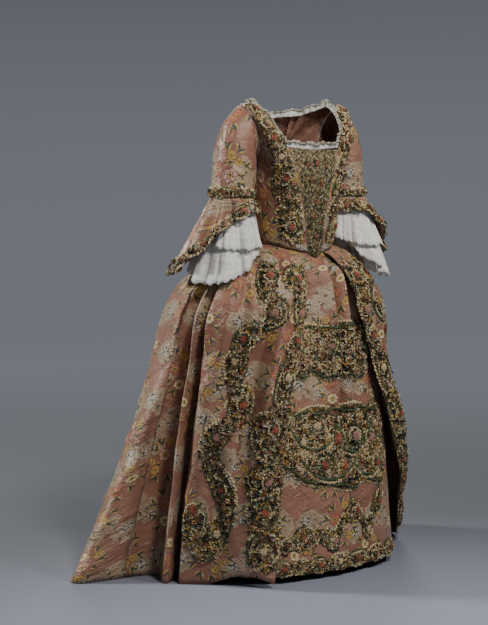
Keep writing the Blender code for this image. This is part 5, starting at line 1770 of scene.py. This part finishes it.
GROUND_STEP = 0.0045            # of the padding under a trim's tufts
LINE_STEP = 0.003               # of the ribbons and cords along it
LUMP, LONG_LUMP = 0.0065, 0.021     # lengths of the padding's lumps
TAPER = 0.012                   # over which a trim narrows at each end
SUNK = 0.0005                   # of the padding's edges into the cloth
CROSSING_LIFT = 0.0035          # of ribbon and braid where they cross
BRAID_WAVE = (0.0012, 0.009)    # height and length of the braid's own waves
INNER_LIFT, BRAID_DROP = 0.002, 0.0006
RING_DROP = 0.003               # of the ring round a flower below the flower
TUFT_PITCH, TUFT_REACH = 0.0060, 0.0076
CURL_AREA = 0.0011              # of trim to each curl of ribbon
EDGE_RIBBON = (0.0115, 0.0105)  # width and length of a puff
INNER_RIBBON = (0.0065, 0.0075)
EDGE_BRAID = (0.0031, 0.008)    # radius and pitch


def lay_padding(heap, band, a, b, lift, lump, lightness):
    """Olive ground under a trim's tufts, with painted shade in its hollows; lump is 0 to 1."""
    points, normals = band.at(a, b)
    light, dark = np.array(OLIVE[:3]) * lightness, np.array(SHADE[:3]) * 0.6
    # Painted shade: the low places of the lumps are darkened towards a dark brown.
    heap.sheet(points + normals * (lift - SUNK)[..., None],
               dark + (light - dark) * (lump ** 2)[..., None])


def dress_band(heap, band, marks, beat, wide, narrow=0.55, height=0.008, flower=0.0130,
               rings=True):
    """Fly fringe in lobes between a gathered cream ribbon and a dark braid that cross."""
    along = max(8, int(band.length / GROUND_STEP))
    a, b = np.meshgrid(np.linspace(0, 1, along + 1), np.linspace(0, 1, 9))

    def spread(a):
        ends = 1.0 if band.closed else eased(np.minimum(a, 1 - a) * band.length, TAPER)
        lobe = np.abs(np.sin(beat(a)))
        return (narrow + (wide - narrow) * lobe ** 0.8) * (0.3 + 0.7 * ends), ends

    def rise(a, b):
        metres = a * band.length
        lump = np.sin(metres / LUMP + 4 * b) * np.sin(metres / LONG_LUMP + 9 * b)
        return height * np.sin(math.pi * b) ** 0.7 * (0.72 + 0.28 * lump)

    size, ends = spread(a)
    lay_padding(heap, band, a, 0.5 + (b - 0.5) * size * 0.94, rise(a, b) * ends,
                0.5 + 0.5 * np.sin(a * band.length / LUMP + 4 * b), 0.9)

    count = int(band.length * band.width * (wide * 0.64 + narrow * 0.36) / TUFT_PITCH ** 2)
    ta, tb = band.scatter(count, lambda a: spread(a)[0])
    size, ends = spread(ta)
    spots, out = band.at(ta, 0.5 + (tb - 0.5) * size * 1.04)
    add_tufts(heap, spots + out * (rise(ta, tb) * ends * 0.9)[:, None], out, TUFT_REACH)

    add_curls(heap, band, height * 0.8, int(band.length * band.width / CURL_AREA))
    line = np.linspace(0, 1, max(24, int(band.length / LINE_STEP)))
    size, _ = spread(line)
    swing = np.sin(beat(line))
    for ribbon in (True, False):
        side = np.tanh(2.2 * swing * (1 if ribbon else -1))
        path, out = band.at(line, 0.5 + 0.5 * side * size * 1.04)
        path = path + out * (CROSSING_LIFT * (1 - side ** 2))[:, None]
        if ribbon:
            add_ribbon(heap, path, out, *EDGE_RIBBON)
            inner = size * (0.80 + 0.12 * np.sin(line * 47))
            path, out = band.at(line, 0.5 - 0.5 * side * inner)
            add_ribbon(heap, path + out * INNER_LIFT, out, *INNER_RIBBON)
        else:
            wave = BRAID_WAVE[0] * np.sin(line * band.length / BRAID_WAVE[1])
            path = path + out * wave[:, None]
            add_cord(heap, path - out * BRAID_DROP, out, *EDGE_BRAID)
    for k, mark in enumerate(marks):
        point, normal = band.at(mark, 0.5)
        point = point + normal * height * 0.85
        add_flower(heap, point, normal, flower * RNG.uniform(0.9, 1.1),
                   FLOWER_KINDS[k % len(FLOWER_KINDS)])
        if rings:
            add_ring(heap, point - normal * RING_DROP, normal, flower * 1.45, RING_RIBBON,
                     0.9, RNG.uniform(0, 6))


def make_trim(name, band, spacing, spots=(), **looks):
    """A fringed trim that stands for one of the frame's."""
    heap = Heap()
    dress_band(heap, band, *flower_marks(band, spots, spacing), **looks)
    heap.make(name + ".fringe", "fly_fringe", (name,))


# Ribbon flowers on the skirt trims: metres from the front edge, and height.
SERPENTINE_FLOWERS = ((0.118, 0.872), (0.100, 0.775), (0.172, 0.700), (0.186, 0.640),
                      (0.152, 0.520), (0.206, 0.425), (0.172, 0.276), (0.186, 0.150),
                      (0.244, 0.215))
EDGE_FLOWERS = ((0.028, 0.862), (0.020, 0.770), (0.022, 0.690), (0.026, 0.585),
                (0.052, 0.448), (0.040, 0.300), (0.036, 0.215), (0.034, 0.110))
SKIRT_SPACING = 0.085           # usual distance from flower to flower
FULLNESS = 1.3                  # how far the fringe beside the front edge spreads past its band
HEADING_STEP = 0.006            # share of the serpentine over which its heading is taken


def build_skirt_trims(panels):
    """The trim along each front edge of the gown and the serpentine beside it."""
    for side, panel in panels.items():
        def edge_place(a, b):
            height, reach = table_row(EDGE_TRIM, a)
            return panel.find(EDGE_INSET + (reach * FULLNESS - EDGE_INSET) * b, height)

        def serpentine_place(a, b):
            here = table_row(SERPENTINE, a)
            heading = unit(table_row(SERPENTINE, min(1, a + HEADING_STEP))
                           - table_row(SERPENTINE, max(0, a - HEADING_STEP)))
            offset = (b - 0.5) * SERPENTINE_WIDTH
            return panel.find(here[1] * SERPENTINE_REACH[side] + heading[0] * offset,
                              here[0] - heading[1] * offset)

        for node, place, steps, flowers, share, wide in (
                ("skirt_edge_trim", edge_place, 120, EDGE_FLOWERS, 1.0, 1.35),
                ("serpentine_trim", serpentine_place, 240, SERPENTINE_FLOWERS,
                 SERPENTINE_REACH[side], 1.65)):
            spots = [panel.spot(distance * share, height)[0] for distance, height in flowers]
            make_trim(side_name(node, side), Band(panel, place, steps, 12, margin=0.45),
                      SKIRT_SPACING, spots, wide=wide, narrow=1.0)


# Ribbon flowers on the furbelows: metres to the wearer's left of the centre, height, radius.
FURBELOW_FLOWERS = {
    "furbelow_upper": ((-0.105, 0.672, 0.011), (0.004, 0.668, 0.011), (0.040, 0.682, 0.012),
                       (-0.066, 0.622, 0.010), (0.092, 0.640, 0.010), (0.128, 0.668, 0.010)),
    "furbelow_lower": ((0.010, 0.402, 0.017), (0.078, 0.400, 0.016), (-0.038, 0.330, 0.013),
                       (-0.050, 0.440, 0.013), (0.110, 0.330, 0.015), (0.160, 0.390, 0.013),
                       (0.045, 0.315, 0.012), (-0.110, 0.400, 0.012), (0.180, 0.310, 0.012)),
}
# The petticoat's other trims: how far the fringe spreads in its lobes, and its flowers' places.
PETTICOAT_SPACING = 0.075
PETTICOAT_TRIMS = {
    "petticoat_serpentine": (1.3, ((-0.120, 0.125), (-0.008, 0.104), (0.085, 0.184),
                                   (0.130, 0.122), (0.190, 0.195))),
    "petticoat_hem_trim": (1.15, ()),
}
# Garlands of braid over the lower furbelow: points to the left of centre and in height.
GARLANDS = (
    ((-0.150, 0.440), (-0.110, 0.385), (-0.060, 0.372), (-0.015, 0.400), (0.010, 0.440)),
    ((0.010, 0.440), (0.040, 0.375), (0.090, 0.352), (0.140, 0.375), (0.165, 0.445)),
    ((-0.120, 0.350), (-0.070, 0.300), (-0.010, 0.285), (0.050, 0.300), (0.090, 0.345)),
    ((0.060, 0.330), (0.110, 0.290), (0.160, 0.280), (0.200, 0.330)),
)
GARLAND_STEPS = 50
GARLAND_BRAID, GARLAND_RIBBON = (0.0042, 0.010), (0.009, 0.009)
RIBBON_DROP = np.array([0, 0, 0.011])       # of each garland's ribbon below its braid


def build_furbelows(panel, turn):
    """Ruched furbelows, serpentine and hem trim across the petticoat front."""
    for name, spans, scallops in FURBELOWS:
        deep = name in FURBELOW_DEPTH

        def place(a, b):
            distance, top, bottom = table_row(spans, a)
            if deep:
                distance, top = distance * 1.09 - 0.004, top + 0.012
            bottom -= SCALLOP * abs(math.sin(math.pi * scallops * a))
            return panel.find(-distance, top + (bottom - top) * b, turn)

        band = Band(panel, place, 90, 14, margin=0.12)
        if deep:
            make_furbelow(band, panel, turn, name)
        else:
            wide, flowers = PETTICOAT_TRIMS[name]
            spots = [panel.spot(-x, height, turn)[0] for x, height in flowers]
            make_trim(name, band, PETTICOAT_SPACING, spots, wide=wide, height=0.007,
                      flower=0.010)


FURBELOW_RIBBON, FURBELOW_BRAID = (0.010, 0.009), (0.0032, 0.008)
# Rows of ribbon (True) and braid (False) along a furbelow: place across it, swing, waves.
FURBELOW_ROWS = ((0.0, 0.03, 5, True), (0.05, 0.02, 7, False), (1.0, 0.0, 1, True),
                 (0.95, 0.02, 9, False), (0.40, 0.07, 4, True), (0.70, 0.05, 6, True))
LOWER_ROWS = ((0.22, 0.05, 5, False),)      # more on the lower one
FURBELOW_PITCH, FURBELOW_REACH = 0.0058, 0.0078
FURBELOW_CURL_AREA = 0.00035
FURBELOW_STEP, FURBELOW_TAPER = 0.005, 0.01
FURBELOW_LUMPS = (0.007, 0.009)             # their lengths along and across
OUTER_RING_DROP = 0.004
FURBELOW_LEAF = (0.024, 0.010)


def make_furbelow(band, panel, turn, name):
    """A deep furbelow: fringe ground, scalloped ribbons and braids, and ringed flowers."""
    heap, depth, lower = Heap(), FURBELOW_DEPTH[name], name == "furbelow_lower"
    a, b = np.meshgrid(np.linspace(0, 1, max(8, int(band.length / FURBELOW_STEP)) + 1),
                       np.linspace(0, 1, 22))
    ends = eased(np.minimum(a, 1 - a) * band.length, FURBELOW_TAPER)
    lump = (np.sin(a * band.length / FURBELOW_LUMPS[0] + 9 * b)
            * np.sin(b * band.width / FURBELOW_LUMPS[1] + a * 7))
    lift = depth * 0.62 * np.clip(np.sin(math.pi * b) * 3, 0, 1) * ends * (0.75 + 0.25 * lump)
    lay_padding(heap, band, a, b, lift, 0.5 + 0.5 * lump, 0.8)
    ta, tb = band.scatter(int(band.length * band.width / FURBELOW_PITCH ** 2))
    spots, out = band.at(ta, tb)
    up = depth * 0.6 * np.clip(np.sin(math.pi * tb) * 3, 0, 1)
    add_tufts(heap, spots + out * up[:, None], out, FURBELOW_REACH)
    add_curls(heap, band, depth * 0.75, int(band.length * band.width / FURBELOW_CURL_AREA))
    line = np.linspace(0, 1, int(band.length / LINE_STEP))
    for row, swing, waves, ribbon in FURBELOW_ROWS + (LOWER_ROWS if lower else ()):
        path, out = band.at(line, row + swing * np.sin(line * waves * math.pi + row * 9))
        add, sizes = (add_ribbon, FURBELOW_RIBBON) if ribbon else (add_cord, FURBELOW_BRAID)
        add(heap, path + out * (depth * 0.55 * (0.04 < row < 0.96)), out, *sizes)
    for arc in GARLANDS if lower else ():
        knots = table_curve(np.linspace(0, len(arc) - 1, GARLAND_STEPS), np.arange(len(arc)), arc)
        path, out = map(np.array, zip(*(panel.spot(-x, z, turn) for x, z in knots)))
        path = path + out * depth * 0.7
        add_cord(heap, path, out, *GARLAND_BRAID)
        add_ribbon(heap, path - RIBBON_DROP, out, *GARLAND_RIBBON)
    for k, (x, height, radius) in enumerate(FURBELOW_FLOWERS[name]):
        point, normal = panel.spot(-x, height, turn)
        point = point + normal * depth * 0.8
        add_flower(heap, point, normal, radius, FLOWER_KINDS[k % len(FLOWER_KINDS)])
        for drop, size, kind, share, turned in (
                (RING_DROP, 1.5, RING_RIBBON, 0.8, 2.1 * k),
                (OUTER_RING_DROP, 2.1, RING_BRAID, 0.6, 1.3 * k)):
            add_ring(heap, point - normal * drop, normal, radius * size, kind, share, turned)
        heading = unit(RNG.normal(size=3))
        add_leaf(heap, point + heading * radius * 1.2, normal, heading, *FURBELOW_LEAF,
                 (FERN, MOSS))
    heap.make(name + ".fringe", "fly_fringe", (name,))


ROBING_SPREAD = (1.20, 1.30, 1.05, 0.90)    # how far the fringe spreads, shoulder to waist
ROBING_PLACES = (0.0, 0.35, 0.7, 1.0)       # shares of the way at which it spreads so
ROBING_START = 0.16                         # share of its columns left clear at the front edge


def build_robings(panels):
    """Trims over the front edges of the bodice."""
    for side, panel in panels.items():
        def place(a, b):
            spread = float(np.interp(a, ROBING_PLACES, ROBING_SPREAD))
            return (ROBING_COLUMNS * (ROBING_START + b * spread),
                    ROBING_INSET + a * (BODICE_ROWS - 2 * ROBING_INSET))

        make_trim(side_name("robing_trim", side), Band(panel, place, 60), 0.062, wide=1.0,
                  narrow=0.66, flower=0.0105)


LEAST_EDGING = 0.030            # depth of the edging where the flounce is short


def build_sleeve_trims(sleeves, flounces):
    """Header band at each elbow and edging round each flounce."""
    _, point, _, _, short, long, _, _, sharpness = FALLS[0]
    for side in (RIGHT, LEFT):
        last = len(sleeves[side].coarse) - 1

        def header_place(a, b):
            return a * SLEEVE_SEGMENTS, last + float(np.interp(b, (0, 1), HEADER_ROWS))

        def edging_place(a, b):
            towards = (1 + math.cos(2 * math.pi * a - math.radians(point))) / 2
            drop = short + (long - short) * towards ** sharpness
            deep = max(EDGING_TOP * drop / FLOUNCE_ROWS, LEAST_EDGING) / drop * FLOUNCE_ROWS
            return a * FALL_SEGMENTS, FLOUNCE_ROWS - deep * (1 - b) + 0.02 * b

        for node, panel, place, steps, spacing, narrow, flower in (
                ("sleeve_header", sleeves[side], header_place, 64, 0.066, 0.7, 0.0085),
                ("flounce_edging", flounces[side], edging_place, 240, 0.07, 0.85, 0.009)):
            make_trim(side_name(node, side), Band(panel, place, steps, closed=True), spacing,
                      wide=1.0, narrow=narrow, height=0.007, flower=flower, rings=False)


STOMACHER_GRID = (70, 40)       # fine rows and columns
STOMACHER_STEPS = (5, 4)        # of them to each coarse one
STOMACHER_TUFTS, STOMACHER_REACH = 1000, 0.0046
STOMACHER_COLOURS = (CREAM, MOSS, OLIVE, GOLD, BLUSH, PINE)
STOMACHER_WEIGHTS = (0.30, 0.22, 0.18, 0.10, 0.06, 0.14)
NET_CORDS, NET_SPACING, NET_SLOPE = range(-9, 20), 0.16, 2.4
NET_CORD = (0.0011, 0.005)      # radius and pitch
NET_MARGIN = 0.03               # share of the width left clear of the net on each side
QUILT_RISE, QUILT_DEPTH, QUILT_PACE = 0.0016, 0.0012, 22
# Flowers on it: place to the left of centre, height and radius.
STOMACHER_FLOWERS = (
    (0.0, 1.195, 0.009), (-0.022, 1.150, 0.007), (0.020, 1.135, 0.007), (0.0, 1.085, 0.008),
    (-0.012, 1.040, 0.006), (0.012, 1.025, 0.006), (0.0, 0.985, 0.007), (0.034, 1.188, 0.007),
    (-0.036, 1.190, 0.007),
)


def stomacher_grid():
    """The stomacher's face, its normals out, and the relief of its quilting."""
    edge = np.array(FRONT_EDGE)
    rows, columns = STOMACHER_GRID
    s = np.linspace(-1, 1, columns + 1)
    outer, relief = [], []
    for i in range(rows + 1):
        share = STOMACHER_TOP * (1 - i / rows)
        half, y, height = table_curve(share, edge[:, 0], edge[:, 1:])[0]
        tip = (1 - np.abs(s)) * max(0.0, 1 - share / TIP_SHARE)
        outer.append(np.column_stack([s * half, y - STOMACHER_BULGE * (1 - s * s)
                                      - TIP_FORWARD * tip, height - TIP_DROP * tip]))
        inside = np.clip(np.minimum((1 - np.abs(s)) * 6, min(i, rows - i) / 4), 0, 1)
        lozenges = np.sin(s * QUILT_PACE + i * 0.5), np.sin(s * QUILT_PACE - i * 0.5)
        relief.append(inside * (QUILT_RISE + QUILT_DEPTH * lozenges[0] * lozenges[1]))
    outer = trim_edges(np.array(outer), SEAM_GAP, SEAM_GAP)
    normals = grid_normals(outer, hand=-1)
    return outer + normals * np.array(relief)[:, :, None], normals


def build_stomacher():
    """Netted panel in the front opening, with its fringe and small flowers."""
    grid, normals = stomacher_grid()
    (rows, columns), (row_steps, column_steps) = STOMACHER_GRID, STOMACHER_STEPS
    make_cloth("stomacher.silk", grid[:, ::-1], (NETTED,), "netted_front", ("stomacher",),
               home=columns // 2, held="stretched")
    panel = Panel(grid[::row_steps, ::column_steps], grid, normals, row_steps, column_steps)
    band = Band(panel, lambda a, b: (b * columns / column_steps, a * rows / row_steps), rows,
                columns)
    heap = Heap()
    a = RNG.uniform(0.01, 0.985, STOMACHER_TUFTS)
    spots, out = band.at(a, RNG.uniform(0.05, 0.95, STOMACHER_TUFTS))
    add_tufts(heap, spots, out, STOMACHER_REACH, STOMACHER_COLOURS, STOMACHER_WEIGHTS)
    a = np.linspace(0, 1, 80)
    for lean in (-1, 1):
        for k in NET_CORDS:
            b = 0.5 + lean * (a * NET_SLOPE - NET_SPACING * k)
            keep = (b > NET_MARGIN) & (b < 1 - NET_MARGIN)
            if keep.sum() >= 5:
                path, out = band.at(a[keep], b[keep])
                add_cord(heap, path, out, *NET_CORD, (OLIVE, SHADE), 4)
    for x, z, radius in STOMACHER_FLOWERS:
        away = (grid - np.array([x, 0.0, z]))[:, :, [0, 2]]
        i, j = np.unravel_index((away ** 2).sum(axis=2).argmin(), away.shape[:2])
        add_flower(heap, grid[i, j] + normals[i, j] * 0.002, normals[i, j], radius)
    heap.make("stomacher.fringe", "netted_front")


# ---- the floor, the light and the camera -------------------------------------------------------
FLOOR_LIGHT_POOL = (-0.38, -1.00, 0.0)      # middle of the painted pool of light on the floor, ahead of the gown
# Radius and height above the floor of each ring of the backdrop.
BACKDROP = ((0.001, 0), (4, 0), (8, 0), (9.5, 0.12), (10.8, 0.6), (11.8, 1.5), (12.4, 2.8),
            (12.7, 4.4), (12.8, 6.0))
BACKDROP_TURNS = 96
# Floor colour inside the painted pool of light near the gown, and away from it.
POOL_FLOOR, FAR_FLOOR = colour(143, 146, 164), colour(98, 102, 108)
GLOW = 1.16                            # light that the far backdrop gives off
SKY, SKY_LIGHT = colour(168, 172, 182), 0.05
LAMPS = (
    # name, place, size, power, tone
    ("key", (-0.7, -2.6, 2.3), 0.6, 98, (1.0, 0.97, 0.93)),
    ("second", (1.0, -2.8, 1.8), 0.6, 52, (1.0, 0.97, 0.93)),
    ("rim", (-2.3, 2.3, 1.0), 0.6, 122, (1.0, 0.98, 0.95)),
    ("back", (2.4, 2.4, 1.9), 1.2, 60, (1.0, 0.98, 0.95)),
)
LAMP_TARGET = (0, 0, -0.65)
CAMERA_PLACE = (-3.359, -3.9516, -0.182)
CAMERA_TILT, CAMERA_TURN = 4.673, -38.8615     # degrees down from level, and round
CAMERA_LENS, CAMERA_SENSOR = 101.0, 36.0


def placed(name, data):
    """A new object in the scene."""
    item = bpy.data.objects.new(name, data)
    bpy.context.scene.collection.objects.link(item)
    return item


def floor_material():
    """Pale floor with a painted pool of light ahead of the gown, that glows far from it."""
    material, shader, n = base_material("floor")
    where = n.node("TexCoord").outputs["Object"]
    away = n.length(n.vector("MULTIPLY", where, (1.0, 1.0, 0.0)))
    ahead = n.vector("SUBTRACT", where, FLOOR_LIGHT_POOL)
    patch = n.length(n.vector("MULTIPLY", ahead, (1.0, 1.0, 0.0)))
    cloudy = n.times(n.minus(n.noise(where, 1.3, 4.0), 0.5), 0.25)
    # Painted pool of light: the floor is lighter round the pool's middle.
    tone = n.mix(n.ramp(n.plus(patch, cloudy), 0.5, 1.9), POOL_FLOOR, FAR_FLOOR)
    glow = n.times(n.ramp(away, 1.0, 6.0), n.ramp(n.xyz(where)[2], 6.0, -1.0))
    n.feed(shader, {"Base Color": tone, "Emission Color": tone,
                    "Emission Strength": n.times(glow, GLOW), "Roughness": 0.9,
                    "Specular IOR Level": 0.15})
    return material


def backdrop():
    """Pale studio floor that curves up far behind the gown, all round, and a faint sky."""
    base = SHOULDER_HEIGHT + cad_box[0][2]
    rows = [[(radius * math.cos(a), radius * math.sin(a), height + base)
             for a in 2 * math.pi * np.arange(BACKDROP_TURNS) / BACKDROP_TURNS]
            for radius, height in BACKDROP]
    mesh = bpy.data.meshes.new("floor")
    points = np.array(rows).reshape(-1, 3) - (0, 0, SHOULDER_HEIGHT)
    mesh.from_pydata(points.tolist(), [], grid_faces(len(rows), BACKDROP_TURNS, True).tolist())
    mesh.shade_smooth()
    mesh.materials.append(floor_material())
    placed("floor", mesh)
    world = bpy.data.worlds.new("studio")
    world.use_nodes = True
    bpy.context.scene.world = world
    sky = world.node_tree.nodes["Background"].inputs
    sky[0].default_value, sky[1].default_value = SKY, SKY_LIGHT


def lamp(name, place, size, power, tone):
    data = bpy.data.lights.new(name, "AREA")
    data.shape = "DISK"
    data.size, data.energy, data.color = size, power, tone
    item = placed(name, data)
    item.location = place
    item.rotation_euler = (Vector(LAMP_TARGET) - Vector(place)).to_track_quat("-Z", "Y").to_euler()


def set_camera():
    data = bpy.data.cameras.new("camera")
    data.lens, data.sensor_width = CAMERA_LENS, CAMERA_SENSOR
    camera = placed("camera", data)
    camera.location = CAMERA_PLACE
    camera.rotation_euler = (math.radians(90 - CAMERA_TILT), 0, math.radians(CAMERA_TURN))
    bpy.context.scene.camera = camera


def main():
    """Everything that shows."""
    skirts = build_gown()
    petticoat, turn = build_petticoat()
    bodice = build_bodice()
    sleeves = build_sleeves()
    flounces = build_falls()
    build_neck_frill()
    build_stomacher()
    build_skirt_trims(skirts)
    build_furbelows(petticoat, turn)
    build_robings(bodice)
    build_sleeve_trims(sleeves, flounces)
    backdrop()
    for row in LAMPS:
        lamp(*row)
    set_camera()


main()
